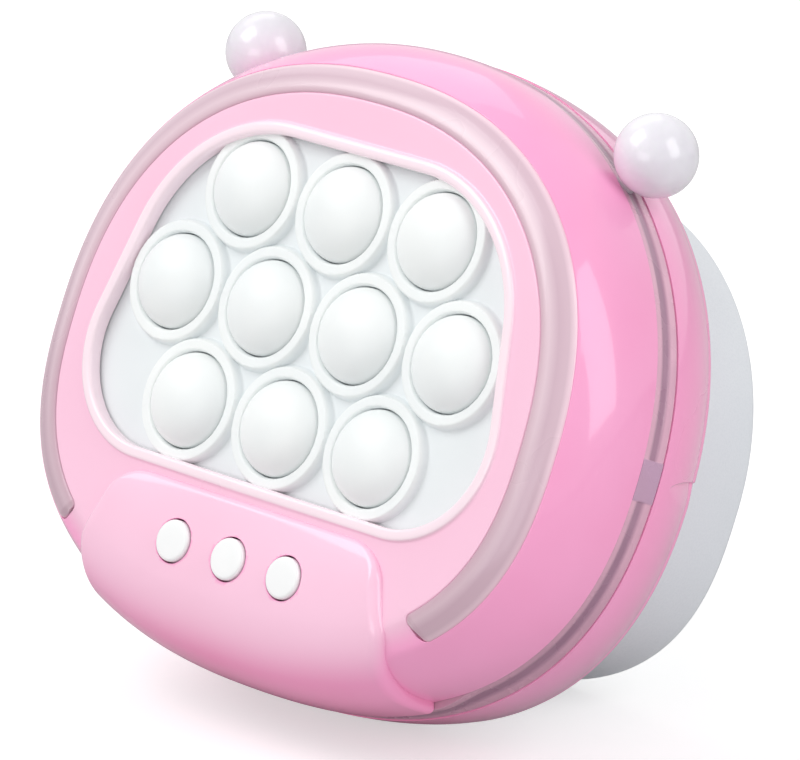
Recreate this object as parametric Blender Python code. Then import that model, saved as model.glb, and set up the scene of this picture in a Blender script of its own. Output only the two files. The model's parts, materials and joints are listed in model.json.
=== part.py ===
"""Hand-held electronic bubble pop game, standing on its own, leaning back.

The game is drawn in its own upright frame: X to the right as the player sees it, Y from the
face to the back, Z up along the face, with the zero of Y at the foot of the raised rings and
the zero of Z on the middle row of bubbles. One empty then leans it back and sets it down.
"""
import math

import bmesh
import bpy
import numpy as np

MM = 0.001

# Fits and walls
GAP = 0.3 * MM
WALL = 2.0 * MM
OVERRUN = 1.0 * MM

# Outer form: how far each outline lies outside or inside the one before it, and their depths
SEAM_SIDE = 5.2 * MM
SEAM_OVER = 6.6 * MM
SEAM_UNDER = 5.2 * MM
SEAM_FRONT_Y = 15.6 * MM
SEAM_OPENING = 4.3 * MM
REAR_SEAM_DROP = 1.8 * MM
REAR_SIDE_DRAW = 5.0 * MM
REAR_TOP_DRAW = 1.9 * MM
REAR_BOTTOM_DRAW = 1.3 * MM
REAR_DEPTH = 17.1 * MM
REAR_FILLET = 1.4 * MM
COVER_SIDE_DRAW = 11.4 * MM
COVER_TOP_DRAW = 10.0 * MM
COVER_BOTTOM_DRAW = 12.2 * MM
COVER_DEPTH = 28.0 * MM
COVER_FILLET = 2.2 * MM
COVER_WALL = 2.4 * MM
OUTLINE_MID_Z = -10.0 * MM
RAY_CENTRE_Z = -8.0 * MM
SHELL_POWER_SHARES = (2.08, 2.35)
FACE_POWER_SHARES = (2.28, 2.5)
COVER_POWER_SHARES = (2.03, 2.75)
OUTLINE_STEPS = 44

# Face, window and light channel
FACE_Y = -1.85 * MM
WINDOW_OVER = 11.66 * MM
WINDOW_UNDER = 11.71 * MM
WINDOW_TOP_SIDE = 16.5 * MM
WINDOW_BOTTOM_SIDE = 19.35 * MM
WINDOW_TOP_RADIUS = 28.0 * MM
WINDOW_BOTTOM_RADIUS = 18.2 * MM
RIM_WIDTH = 1.8 * MM
RIM_HEIGHT = 0.6 * MM
CHANNEL_SIDE = 19.5 * MM
CHANNEL_OVER = 7.15 * MM
CHANNEL_UNDER = 19.7 * MM
CHANNEL_SIDE_WIDTH = 5.6 * MM
CHANNEL_TOP_WIDTH = 5.2 * MM
CHANNEL_BOTTOM_WIDTH = 4.0 * MM
CHANNEL_OUT_Y = 0.4 * MM
CHANNEL_DEPTH = 3.0 * MM
CHANNEL_DRAFT = 0.25 * MM
CHANNEL_END_TURN = math.radians(38.9)
CHANNEL_END_STEP = math.radians(0.5)
SIDE_CURVE_SHARES = (0.12, 0.32, 0.62, 1.0)
SIDE_POWER_SHARE = 2.6

# Belly below the window, which carries the three buttons
BELLY_SIDE_DRAW = 15.8 * MM
BELLY_TAPER = 5.8 * MM
BELLY_UNDER = 1.1 * MM
BELLY_SHOULDER_RISE = 13.9 * MM
BELLY_SHOULDER_RADIUS = 6.0 * MM
BELLY_CORNER = 9.0 * MM
BELLY_CREST_Y = -3.6 * MM
BELLY_CREST_DROP = 11.0 * MM
BELLY_LIP = 0.5 * MM
BELLY_DEPTH = 1.8 * MM
BELLY_ROOT = 0.6 * MM
BELLY_POWER_SHARE = 2.6

# Bubble pad: rows of three, four and three, closely packed
BUBBLE_PITCH = 21.0 * MM
BUBBLE_ROWS = (3, 4, 3)
BUBBLE_SPACING = 4.9 * MM
BUBBLE_CROWN = 5.1 * MM
BUBBLE_WALL = 1.0 * MM
BUBBLE_SHOULDER = 0.2 * MM
BUBBLE_FLANGE = 1.15 * MM
BUBBLE_FLANGE_THICK = 0.8 * MM
BUBBLE_TRAVEL = 4.0 * MM
PAD_CLEARANCE = 0.35 * MM
PAD_THICK = 1.3 * MM
PAD_FLANGE = 1.2 * MM
RING_CREST = 1.13 * MM
RING_WIDTH = 2.0 * MM
BUBBLE_STEPS = 12

# Plungers, deck and main board behind the pad
PLUNGER_PLATE = 1.0 * MM
PLUNGER_STEM_RADIUS = 1.6 * MM
WELL_CLEARANCE = 0.4 * MM
DECK_FLOOR = 1.2 * MM
STEM_CLEARANCE = 0.6 * MM
PLATE_MARGIN = 6.5 * MM
BOARD_THICK = 1.6 * MM
SWITCH_SIZE = 5.0 * MM
SWITCH_HEIGHT = 2.0 * MM
SWITCH_TIP = 0.6 * MM
SWITCH_TIP_RADIUS = 1.5 * MM
SWITCH_SLACK = 0.2 * MM
SWITCH_ROOT = 0.5 * MM
SWITCH_CLEARANCE = 0.35 * MM
BOARD_POST_RADIUS = 2.4 * MM
BOARD_SCREW_RADIUS = 1.0 * MM
BOARD_SCREW_GRIP = 5.0 * MM
BOARD_POST_OVER = 3.65 * MM
BOARD_POST_UNDER = 4.6 * MM
BOARD_POST_SIDE = 9.0 * MM

# Buttons and their board
BUTTON_PITCH = 12.7 * MM
BUTTON_DROP = 9.9 * MM
BUTTON_RADIUS = 3.5 * MM
BUTTON_PROUD = 0.8 * MM
BUTTON_EDGE = 0.5 * MM
BUTTON_FLANGE = 1.0 * MM
BUTTON_FLANGE_THICK = 0.8 * MM
BUTTON_STEM_RADIUS = 1.3 * MM
BUTTON_STEM = 1.8 * MM
BUTTON_TRAVEL = 1.2 * MM
BUTTON_BOARD_THICK = 1.2 * MM
BUTTON_BOARD_MARGIN = 0.6 * MM
BUTTON_BOARD_HEIGHT = 11.6 * MM
BUTTON_POST_STEP = 7.3 * MM
BUTTON_POST_RADIUS = 2.0 * MM
BUTTON_SCREW_RADIUS = 0.8 * MM
BUTTON_STEPS = 12

# Seam light ring
RING_RECESS = 1.2 * MM
RING_TONGUE = 1.3 * MM
RING_LAP = 2.2 * MM
LUG_LENGTH = 7.0 * MM
LUG_Z = -9.0 * MM
LUG_RECESS = 0.4 * MM

# Ear lamps
EAR_RADIUS = 6.9 * MM
EAR_STAND_OFF = 7.04 * MM
EAR_TURN = math.radians(50.5)
EAR_STEM_RADIUS = 1.85 * MM
EAR_FLANGE_RADIUS = 3.1 * MM
EAR_FLANGE_THICK = 1.0 * MM
EAR_LED_RADIUS = 0.9 * MM
EAR_LED_LENGTH = 6.0 * MM
EAR_LED_BASE = 1.0 * MM
EAR_STEPS = 14

# Light strip and the lamp boards behind it
STRIP_CROWN = 0.5 * MM
STRIP_END_TURN = math.radians(38.3)
STRIP_ACROSS = 6
LAMP_BOARD_THICK = 0.8 * MM
LAMP_BOARD_INSET_SHARE = 0.2
LAMP_BOARD_TURNS = (math.radians(-34.0), math.radians(54.0))
LAMP_BOARD_STEPS = 16
LAMP_HOLE_RADIUS = 1.4 * MM
LAMP_HOLE_TURNS = tuple(math.radians(turn) for turn in (-24.0, 0.0, 24.0, 45.0))

# Case screws and their posts
CASE_SCREW_TOP_X = 20.5 * MM
CASE_SCREW_TOP_RISE = 0.2 * MM
CASE_SCREW_LOW_DRAW = 2.2 * MM
CASE_SCREW_LOW_RISE = 13.3 * MM
CASE_POST_RADIUS = 3.0 * MM
POST_ROOT = 0.6 * MM
CASE_SCREW_RADIUS = 1.5 * MM
CASE_SCREW_GRIP = 10.4 * MM
CASE_HEAD_RADIUS = 2.5 * MM
CASE_HEAD_THICK = 1.3 * MM
CASE_HEAD_SINK = 1.2 * MM
CASE_POST_STEP = 0.5 * MM
SCREW_STEPS = 8

# Rear cover: flange, battery tray, door and speaker
FLANGE_INSET = 2.6 * MM
CELL_RADIUS = 5.25 * MM
CELL_LENGTH = 44.5 * MM
CELL_NUB = 1.0 * MM
CELL_NUB_RADIUS = 1.9 * MM
CELL_SHOULDER = 0.5 * MM
CELL_SPACING = 0.4 * MM
CELL_DOOR_SPACE = 0.65 * MM
CELL_STEPS = 12
TRAY_WALL = 1.4 * MM
TRAY_SLACK = 0.35 * MM
TRAY_RISE = 9.1 * MM
CONTACT_THICK = 0.5 * MM
CONTACT_BUMP = 0.85 * MM
CONTACT_BUMP_RADII = (2.2 * MM, 1.2 * MM)
CONTACT_INSET = 0.75 * MM
DOOR_THICK = 2.0 * MM
DOOR_SIDE_MARGIN = 1.0 * MM
DOOR_HINGE_MARGIN = 0.8 * MM
DOOR_SCREW_MARGIN = 3.0 * MM
DOOR_LEDGE = 1.5 * MM
DOOR_SCREW_RADIUS = 1.1 * MM
DOOR_SCREW_LENGTH = 5.6 * MM
DOOR_SCREW_PLAY = 0.7 * MM
DOOR_HEAD_RADIUS = 2.0 * MM
DOOR_HEAD_THICK = 1.3 * MM
DOOR_HEAD_SINK = 0.3 * MM
DOOR_BOSS_RADIUS = 2.5 * MM
DOOR_BOSS_DEPTH = 2.0 * MM
DOOR_PIN_RADIUS = 0.5 * MM
DOOR_PIN_LENGTH = 1.2 * MM
DOOR_EDGE_STEPS = 6
SPEAKER_TOP_MARGIN = 4.8 * MM
SPEAKER_DOOR_MARGIN = 2.9 * MM
SPEAKER_DEPTH = 5.0 * MM
SPEAKER_MAGNET_RADIUS = 7.0 * MM
SPEAKER_RIM = 1.5 * MM
SPEAKER_SEAT_WALL = 1.2 * MM
SPEAKER_STEPS = 20
GRILLE_PITCH = 3.6 * MM
GRILLE_HOLE_RADIUS = 0.8 * MM
GRILLE_RINGS = 2
GRILLE_STEPS = 6

# Pry notch in the rear edge, on the right
NOTCH_RADIUS = 2.2 * MM
NOTCH_Z = -9.0 * MM
NOTCH_REACH = 5.0 * MM

# Sizes and places worked out from those above, from the bubbles outward
ROW_STEP = BUBBLE_PITCH * math.sqrt(3.0) / 2.0
BUBBLE_RADIUS = (BUBBLE_PITCH - BUBBLE_SPACING) / 2.0
TOP_ROW_X = BUBBLE_PITCH * (BUBBLE_ROWS[0] - 1) / 2.0
MIDDLE_ROW_X = BUBBLE_PITCH * (BUBBLE_ROWS[1] - 1) / 2.0
WINDOW_TOP = ROW_STEP + WINDOW_OVER
WINDOW_BOTTOM = -ROW_STEP - WINDOW_UNDER
WINDOW_TOP_CORNER = TOP_ROW_X + WINDOW_TOP_SIDE
WINDOW_BOTTOM_CORNER = MIDDLE_ROW_X + WINDOW_BOTTOM_SIDE
CHANNEL_IN_HALF_WIDTH = MIDDLE_ROW_X + CHANNEL_SIDE
CHANNEL_IN_TOP = WINDOW_TOP + CHANNEL_OVER
CHANNEL_IN_BOTTOM = WINDOW_BOTTOM - CHANNEL_UNDER
CHANNEL_OUT_HALF_WIDTH = CHANNEL_IN_HALF_WIDTH + CHANNEL_SIDE_WIDTH
CHANNEL_OUT_TOP = CHANNEL_IN_TOP + CHANNEL_TOP_WIDTH
CHANNEL_OUT_BOTTOM = CHANNEL_IN_BOTTOM - CHANNEL_BOTTOM_WIDTH
SEAM_HALF_WIDTH = CHANNEL_OUT_HALF_WIDTH + SEAM_SIDE
SEAM_TOP = CHANNEL_OUT_TOP + SEAM_OVER
SEAM_BOTTOM = CHANNEL_OUT_BOTTOM - SEAM_UNDER
REAR_SEAM_BOTTOM = SEAM_BOTTOM - REAR_SEAM_DROP
REAR_HALF_WIDTH = SEAM_HALF_WIDTH - REAR_SIDE_DRAW
REAR_TOP = SEAM_TOP - REAR_TOP_DRAW
REAR_BOTTOM = REAR_SEAM_BOTTOM + REAR_BOTTOM_DRAW
COVER_HALF_WIDTH = REAR_HALF_WIDTH - COVER_SIDE_DRAW
COVER_TOP = REAR_TOP - COVER_TOP_DRAW
COVER_BOTTOM = REAR_BOTTOM + COVER_BOTTOM_DRAW
SEAM_REAR_Y = SEAM_FRONT_Y + SEAM_OPENING
REAR_Y = SEAM_REAR_Y + REAR_DEPTH
COVER_Y = REAR_Y + COVER_DEPTH
BELLY_HALF_WIDTH = CHANNEL_IN_HALF_WIDTH - BELLY_SIDE_DRAW
BELLY_TOP_HALF_WIDTH = BELLY_HALF_WIDTH - BELLY_TAPER
BELLY_TOP = WINDOW_BOTTOM - BELLY_UNDER
BELLY_SHOULDER_Z = SEAM_BOTTOM + BELLY_SHOULDER_RISE
BUTTON_Z = BELLY_TOP - BUTTON_DROP
BUTTON_POST_X = BUTTON_PITCH + BUTTON_POST_STEP
BUTTON_BOARD_HALF = BUTTON_POST_X + BUTTON_POST_RADIUS + BUTTON_BOARD_MARGIN
BOARD_POSTS = (
    (BUBBLE_PITCH / 2.0, WINDOW_TOP + BOARD_POST_OVER),
    (-BUBBLE_PITCH / 2.0, WINDOW_TOP + BOARD_POST_OVER),
    (TOP_ROW_X + BOARD_POST_SIDE, WINDOW_BOTTOM - BOARD_POST_UNDER),
    (-TOP_ROW_X - BOARD_POST_SIDE, WINDOW_BOTTOM - BOARD_POST_UNDER),
)
CASE_SCREWS = (
    (CASE_SCREW_TOP_X, CHANNEL_IN_TOP + CASE_SCREW_TOP_RISE),
    (-CASE_SCREW_TOP_X, CHANNEL_IN_TOP + CASE_SCREW_TOP_RISE),
    (BELLY_HALF_WIDTH - CASE_SCREW_LOW_DRAW, SEAM_BOTTOM + CASE_SCREW_LOW_RISE),
    (CASE_SCREW_LOW_DRAW - BELLY_HALF_WIDTH, SEAM_BOTTOM + CASE_SCREW_LOW_RISE),
)
CASE_POST_END_Y = SEAM_REAR_Y - CASE_POST_STEP
CASE_SCREW_END_Y = CASE_POST_END_Y - CASE_SCREW_GRIP
FACE_INNER_Y = FACE_Y + WALL
PAD_FRONT_Y = FACE_INNER_Y + GAP
PAD_BACK_Y = PAD_FRONT_Y + PAD_THICK
DECK_Y = PAD_BACK_Y + GAP
PLUNGER_Y = DECK_Y + BUBBLE_FLANGE_THICK + GAP
WELL_RADIUS = BUBBLE_RADIUS + BUBBLE_FLANGE + WELL_CLEARANCE
DECK_FLOOR_Y = PLUNGER_Y + PLUNGER_PLATE + BUBBLE_TRAVEL + GAP
DECK_BACK_Y = DECK_FLOOR_Y + DECK_FLOOR
BOARD_Y = DECK_BACK_Y + SWITCH_CLEARANCE + SWITCH_TIP + SWITCH_HEIGHT
SWITCH_Y = BOARD_Y - SWITCH_HEIGHT
STEM_END_Y = SWITCH_Y - SWITCH_TIP - BUBBLE_TRAVEL - SWITCH_SLACK
BUTTON_STEM_END_Y = PAD_FRONT_Y + BUTTON_FLANGE_THICK + BUTTON_STEM
BUTTON_BOARD_Y = BUTTON_STEM_END_Y + BUTTON_TRAVEL + SWITCH_SLACK + SWITCH_TIP + SWITCH_HEIGHT
EAR_Y = SEAM_FRONT_Y + SEAM_OPENING / 2
FLANGE_BACK_Y = REAR_Y - WALL - GAP
FLANGE_FRONT_Y = FLANGE_BACK_Y - WALL
COVER_INNER_Y = COVER_Y - COVER_WALL
DOOR_INNER_Y = COVER_Y - DOOR_THICK
CELL_PITCH = CELL_RADIUS * 2.0 + CELL_SPACING
CELL_Y = DOOR_INNER_Y - CELL_DOOR_SPACE - CELL_RADIUS
TRAY_FLOOR_Y = CELL_Y - CELL_RADIUS - TRAY_SLACK
TRAY_HALF_X = CELL_LENGTH / 2 + GAP + CONTACT_BUMP + CONTACT_THICK + GAP
TRAY_HALF_Z = CELL_PITCH + CELL_RADIUS + TRAY_SLACK
CELL_MID_Z = COVER_BOTTOM + TRAY_RISE + TRAY_HALF_Z
CONTACT_HALF = CELL_RADIUS - CONTACT_INSET
DOOR_HALF_X = TRAY_HALF_X + TRAY_WALL + DOOR_SIDE_MARGIN
DOOR_BOTTOM_Z = CELL_MID_Z - TRAY_HALF_Z - TRAY_WALL - DOOR_HINGE_MARGIN
DOOR_AXIS_Y = COVER_Y - DOOR_THICK / 2
DOOR_AXIS_Z = DOOR_BOTTOM_Z + DOOR_THICK / 2
DOOR_SCREW_Z = CELL_MID_Z + TRAY_HALF_Z + TRAY_WALL + GAP + DOOR_BOSS_RADIUS
DOOR_TOP_Z = DOOR_SCREW_Z + DOOR_SCREW_MARGIN
SPEAKER_TOP_Z = COVER_TOP - SPEAKER_TOP_MARGIN
SPEAKER_RADIUS = (SPEAKER_TOP_Z - DOOR_TOP_Z - SPEAKER_DOOR_MARGIN) / 2.0
SPEAKER_Z = SPEAKER_TOP_Z - SPEAKER_RADIUS
FOOT_Y = REAR_Y - REAR_FILLET
COVER_FOOT_Y = COVER_Y - COVER_FILLET
LEAN = math.atan2(COVER_BOTTOM - REAR_BOTTOM, COVER_FOOT_Y - FOOT_Y)


def clear_scene():
    """Start from an empty file, with nothing left of the default scene."""
    for item in list(bpy.data.objects):
        bpy.data.objects.remove(item, do_unlink=True)


def finish(name, colour, roughness, metallic=0.0, alpha=1.0):
    """A plain material: one colour, one roughness, and how metallic it is."""
    material = bpy.data.materials.new(name)
    material.use_nodes = True
    shader = material.node_tree.nodes["Principled BSDF"]
    shader.inputs["Base Color"].default_value = (*colour, 1.0)
    shader.inputs["Roughness"].default_value = roughness
    shader.inputs["Metallic"].default_value = metallic
    shader.inputs["Alpha"].default_value = alpha
    return material


def skin(name, rings, material, joined=False, smooth=True):
    """Close a stack of rings into one body: quads between rings, and flat or pointed ends.

    A joined stack runs round to its first ring again, like a tyre."""
    shape = bmesh.new()
    rows = [[shape.verts.new(point) for point in ring] for ring in rings]
    pairs = list(zip(rows, rows[1:] + rows[:1]))
    if not joined:
        pairs.pop()
    for near, far in pairs:
        count = max(len(near), len(far))
        for step in range(count):
            after = (step + 1) % count
            if len(near) == 1:
                shape.faces.new((near[0], far[step], far[after]))
            elif len(far) == 1:
                shape.faces.new((near[after], near[step], far[0]))
            else:
                shape.faces.new((near[after], near[step], far[step], far[after]))
    if not joined:
        for end in (rows[0], rows[-1]):
            if len(end) > 1:
                shape.faces.new(end)
    bmesh.ops.recalc_face_normals(shape, faces=shape.faces)
    mesh = bpy.data.meshes.new(name)
    shape.to_mesh(mesh)
    shape.free()
    if smooth:
        mesh.shade_smooth()
        mesh.set_sharp_from_angle(angle=math.radians(35.0))
    return place(name, mesh, material)


def place(name, mesh, material, at=(0.0, 0.0, 0.0)):
    """Put a mesh into the game's own frame as a named object."""
    if material and not mesh.materials:
        mesh.materials.append(material)
    item = bpy.data.objects.new(name, mesh)
    item.parent = stand
    item.location = at
    bpy.context.collection.objects.link(item)
    return item


def guide(item):
    """Mark a cutter or a core, which isn't a piece of the game."""
    item.hide_render = True
    item.display_type = "WIRE"
    return item


def combine(item, other, operation):
    """Cut, join or keep only what is common, with an exact Boolean."""
    modifier = item.modifiers.new(operation.lower(), "BOOLEAN")
    modifier.operation = operation
    modifier.solver = "EXACT"
    modifier.object = guide(other)
    return item


def group(name, items):
    """Gather separate solids into one guide, so that one Boolean takes them all."""
    shape = bmesh.new()
    for item in items:
        start = len(shape.verts)
        shape.from_mesh(item.data)
        shape.verts.ensure_lookup_table()
        bmesh.ops.transform(shape, matrix=item.matrix_basis, verts=shape.verts[start:])
        bpy.data.objects.remove(item, do_unlink=True)
    mesh = bpy.data.meshes.new(name)
    shape.to_mesh(mesh)
    shape.free()
    return guide(place(name, mesh, None))


def turned(name, profile, steps, material, at=(0.0, 0.0, 0.0), joined=False):
    """Turn a profile of (radius, depth) points about an axis that runs from front to back."""
    turn = np.linspace(0.0, 2.0 * math.pi, steps, endpoint=False)
    rings = []
    for radius, depth in profile:
        if radius == 0.0:
            rings.append([(0.0, depth, 0.0)])
        else:
            ring = np.stack([radius * np.cos(turn), np.full(steps, depth), radius * np.sin(turn)], 1)
            rings.append(ring.tolist())
    item = skin(name, rings, material, joined)
    item.location = at
    return item


def copied(item, name, at):
    """A second piece of the same shape elsewhere."""
    return place(name, item.data, None, at)


def rod(name, radius, start, end, steps, material=None):
    """A round bar between two points."""
    start, end = np.array(start), np.array(end)
    along = (end - start) / np.linalg.norm(end - start)
    side = np.cross(along, (0.0, 1.0, 0.0))
    if np.linalg.norm(side) == 0.0:
        side = np.array((1.0, 0.0, 0.0))
    side = side / np.linalg.norm(side)
    other = np.cross(along, side)
    turn = np.linspace(0.0, 2.0 * math.pi, steps, endpoint=False)
    round_off = radius * (np.outer(np.cos(turn), side) + np.outer(np.sin(turn), other))
    return skin(name, [(start + round_off).tolist(), (end + round_off).tolist()], material)


def block(name, low, high, material=None):
    """A plain box between two corners."""
    (x0, y0, z0), (x1, y1, z1) = low, high
    near = [(x0, y0, z0), (x1, y0, z0), (x1, y0, z1), (x0, y0, z1)]
    far = [(x, y1, z) for x, _, z in near]
    return skin(name, [near, far], material, smooth=False)


def superellipse(half_width, top, bottom, powers, mid=OUTLINE_MID_Z):
    """Closed outline whose upper and lower halves are superellipses of their own powers."""
    turn = np.linspace(0.0, 2.0 * math.pi, 720, endpoint=False)
    upper = np.sin(turn) >= 0.0
    power = np.where(upper, powers[0], powers[1])
    height = np.where(upper, top - mid, mid - bottom)
    x = half_width * np.sign(np.cos(turn)) * np.abs(np.cos(turn)) ** (2.0 / power)
    z = mid + height * np.sign(np.sin(turn)) * np.abs(np.sin(turn)) ** (2.0 / power)
    return x, z


def rounded_polygon(corners, radii, arc_steps=12):
    """Closed outline of straight runs joined by arcs of the given radii."""
    points = []
    for index, corner in enumerate(corners):
        here = np.array(corner)
        back = np.array(corners[index - 1]) - here
        ahead = np.array(corners[(index + 1) % len(corners)]) - here
        back, ahead = back / np.linalg.norm(back), ahead / np.linalg.norm(ahead)
        half = math.acos(float(np.clip(back @ ahead, -1.0, 1.0))) / 2.0
        middle = here + (back + ahead) / np.linalg.norm(back + ahead) * radii[index] / math.sin(half)
        start = here + back * radii[index] / math.tan(half) - middle
        end = here + ahead * radii[index] / math.tan(half) - middle
        begin = math.atan2(start[1], start[0])
        sweep = (math.atan2(end[1], end[0]) - begin + math.pi) % (2.0 * math.pi) - math.pi
        for turn in np.linspace(begin, begin + sweep, arc_steps):
            points.append(middle + radii[index] * np.array((math.cos(turn), math.sin(turn))))
    points = np.array(points)
    return points[:, 0], points[:, 1]


def window(grow):
    """Outline of the window, a rounded trapezoid, moved outward by a distance."""
    lean_share = (WINDOW_BOTTOM_CORNER - WINDOW_TOP_CORNER) / (WINDOW_TOP - WINDOW_BOTTOM)
    side = grow * math.sqrt(1.0 + lean_share ** 2)
    top_x = WINDOW_TOP_CORNER - lean_share * grow + side
    bottom_x = WINDOW_BOTTOM_CORNER + lean_share * grow + side
    top_z, bottom_z = WINDOW_TOP + grow, WINDOW_BOTTOM - grow
    corners = [(top_x, top_z), (-top_x, top_z), (-bottom_x, bottom_z), (bottom_x, bottom_z)]
    top_radius, bottom_radius = WINDOW_TOP_RADIUS + grow, WINDOW_BOTTOM_RADIUS + grow
    return rounded_polygon(corners, (top_radius, top_radius, bottom_radius, bottom_radius))


def fill_in(values, steps=24):
    """Add points along each straight run of a closed outline."""
    ahead = np.roll(values, -1)
    shares = np.arange(steps) / steps
    return (values[:, None] + (ahead - values)[:, None] * shares).ravel()


def rays(outline, turns):
    """Points where rays from the middle of the face cross a closed outline."""
    x, z = fill_in(outline[0]), fill_in(outline[1])
    angle = np.arctan2(z - RAY_CENTRE_Z, x)
    order = np.argsort(angle)
    reach = np.hypot(x, z - RAY_CENTRE_Z)[order]
    radius = np.interp(turns, angle[order], reach, period=2.0 * math.pi)
    return np.stack([radius * np.cos(turns), RAY_CENTRE_Z + radius * np.sin(turns)], 1)


def ring_at(points, depth):
    """Give outline points a depth, which may differ from point to point."""
    depths = np.broadcast_to(depth, len(points))
    return np.stack([points[:, 0], depths, points[:, 1]], 1)


def seam_outline(inset, bottom=SEAM_BOTTOM):
    """Outline at the seam between the two pink shells, drawn in by a distance."""
    return superellipse(SEAM_HALF_WIDTH - inset, SEAM_TOP - inset, bottom + inset, SHELL_POWER_SHARES)


def rear_outline(inset):
    """Outline of the rear shell's back edge, drawn in by a distance."""
    return superellipse(
        REAR_HALF_WIDTH - inset, REAR_TOP - inset, REAR_BOTTOM + inset, SHELL_POWER_SHARES
    )


def cover_outline(inset):
    """Outline of the white rear cover, drawn in by a distance."""
    return superellipse(
        COVER_HALF_WIDTH - inset, COVER_TOP - inset, COVER_BOTTOM + inset, COVER_POWER_SHARES
    )


def channel_in_outline(inset):
    """Inner edge of the light channel, drawn in by a distance."""
    return superellipse(
        CHANNEL_IN_HALF_WIDTH - inset,
        CHANNEL_IN_TOP - inset,
        CHANNEL_IN_BOTTOM + inset,
        FACE_POWER_SHARES,
    )


def channel_out_outline(inset):
    """Outer edge of the light channel, drawn in by a distance."""
    return superellipse(
        CHANNEL_OUT_HALF_WIDTH - inset,
        CHANNEL_OUT_TOP - inset,
        CHANNEL_OUT_BOTTOM + inset,
        FACE_POWER_SHARES,
    )


def even_turns(steps=OUTLINE_STEPS):
    """Evenly turned rays that leave a flat facet, not a corner, at the very bottom."""
    step = 2.0 * math.pi / steps
    return -math.pi / 2.0 + step * (np.arange(steps) + 0.5)


def channel_turns():
    """Even rays, with a close pair added at each end of the light channel."""
    near, past = -CHANNEL_END_TURN, -CHANNEL_END_TURN - CHANNEL_END_STEP
    ends = [near, past, math.pi - near, math.pi - past]
    wrapped = np.mod(np.concatenate([even_turns(), ends]) + math.pi / 2.0, 2.0 * math.pi)
    return np.sort(wrapped) - math.pi / 2.0


def in_channel(turns):
    """One where the light channel runs, and zero in its gap at the bottom."""
    lift = np.abs(np.mod(turns + math.pi / 2.0, 2.0 * math.pi) - math.pi)
    return (lift <= math.pi / 2.0 + CHANNEL_END_TURN + CHANNEL_END_STEP / 2.0).astype(float)


def bubble_places():
    """Middles of the ten bubbles, row by row from the top, left to right."""
    places = []
    for row, count in enumerate(BUBBLE_ROWS):
        z = ROW_STEP * ((len(BUBBLE_ROWS) - 1) / 2.0 - row)
        for column in range(count):
            places.append((BUBBLE_PITCH * (column - (count - 1) / 2.0), z))
    return places


def button_places():
    """Middles of the three buttons, left to right."""
    return [(BUTTON_PITCH * step, BUTTON_Z) for step in (-1, 0, 1)]


def side_ring(share, inset, turns):
    """The front shell's side: it leaves the channel's edge and flattens out towards the seam."""
    out_share = 1.0 - (1.0 - share) ** SIDE_POWER_SHARE
    start = rays(channel_out_outline(inset), turns)
    end = rays(seam_outline(inset), turns)
    depth = CHANNEL_OUT_Y + (SEAM_FRONT_Y - CHANNEL_OUT_Y) * share
    return ring_at(start + (end - start) * out_share, depth)


def make_front_shell():
    """Pink front: raised window rim, face, light channel, curved side, and a wall behind all."""
    turns = channel_turns()
    sunk = CHANNEL_DEPTH * in_channel(turns)
    opening = rays(window(-RIM_WIDTH), turns)
    crest = rays(window(-RIM_WIDTH / 2.0), turns)
    rim = rays(window(0.0), turns)
    inner_share = SIDE_CURVE_SHARES[1]
    rings = [
        ring_at(opening, FACE_INNER_Y),
        ring_at(opening, FACE_Y),
        ring_at(crest, FACE_Y - RIM_HEIGHT),
        ring_at(rim, FACE_Y),
        ring_at(rays(channel_in_outline(0.0), turns), FACE_Y),
        ring_at(rays(channel_in_outline(-CHANNEL_DRAFT), turns), FACE_Y + sunk),
        ring_at(rays(channel_out_outline(CHANNEL_DRAFT), turns), CHANNEL_OUT_Y + sunk),
        ring_at(rays(channel_out_outline(0.0), turns), CHANNEL_OUT_Y),
    ]
    rings += [side_ring(share, 0.0, turns) for share in SIDE_CURVE_SHARES]
    rings += [side_ring(share, WALL, turns) for share in reversed(SIDE_CURVE_SHARES[2:])]
    inner_side = side_ring(inner_share, WALL, turns)
    rings += [
        inner_side + np.outer(sunk, (0.0, 0.5, 0.0)),
        ring_at(rays(channel_out_outline(0.0), turns), CHANNEL_OUT_Y + WALL + sunk),
        ring_at(rays(channel_in_outline(WALL / 2.0), turns), FACE_INNER_Y + sunk),
        ring_at(rays(channel_in_outline(WALL), turns), FACE_INNER_Y),
    ]
    shell = skin("front_shell", rings, PINK, joined=True)
    combine(shell, front_posts(), "UNION")
    combine(shell, belly_core(), "UNION")
    combine(shell, front_bores(), "DIFFERENCE")
    return shell


def belly_ring(spread, bottom, depth, turns):
    """One outline of the belly: it spreads from the channel's outline to just past the seam's."""
    half_width = CHANNEL_OUT_HALF_WIDTH
    half_width += (SEAM_HALF_WIDTH + BELLY_DEPTH - half_width) * spread
    top = CHANNEL_OUT_TOP + (SEAM_TOP + BELLY_DEPTH - CHANNEL_OUT_TOP) * spread
    outline = superellipse(half_width, top, bottom, SHELL_POWER_SHARES)
    return ring_at(rays(outline, turns), depth)


def belly_profile():
    """The belly's section at the middle: (spread, bottom, depth) from its lip to the seam."""
    crest_z = BELLY_TOP - BELLY_CREST_DROP
    bottom = SEAM_BOTTOM - BELLY_DEPTH
    round_z, round_y = crest_z - bottom, SEAM_FRONT_Y - BELLY_CREST_Y
    profile = [
        (0.0, BELLY_TOP + BELLY_LIP, FACE_Y),
        (0.0, BELLY_TOP - BELLY_LIP, FACE_Y - BELLY_LIP),
    ]
    power = 2.0 / BELLY_POWER_SHARE
    for share in (0.0, 0.2, 0.4, 0.6, 0.8):
        turn = share * math.pi / 2.0
        spread = math.sin(turn) ** power
        depth = BELLY_CREST_Y + round_y * (1.0 - math.cos(turn) ** power)
        profile.append((spread, crest_z - round_z * spread, depth))
    profile.append((1.0, bottom, SEAM_FRONT_Y))
    return profile


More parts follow.
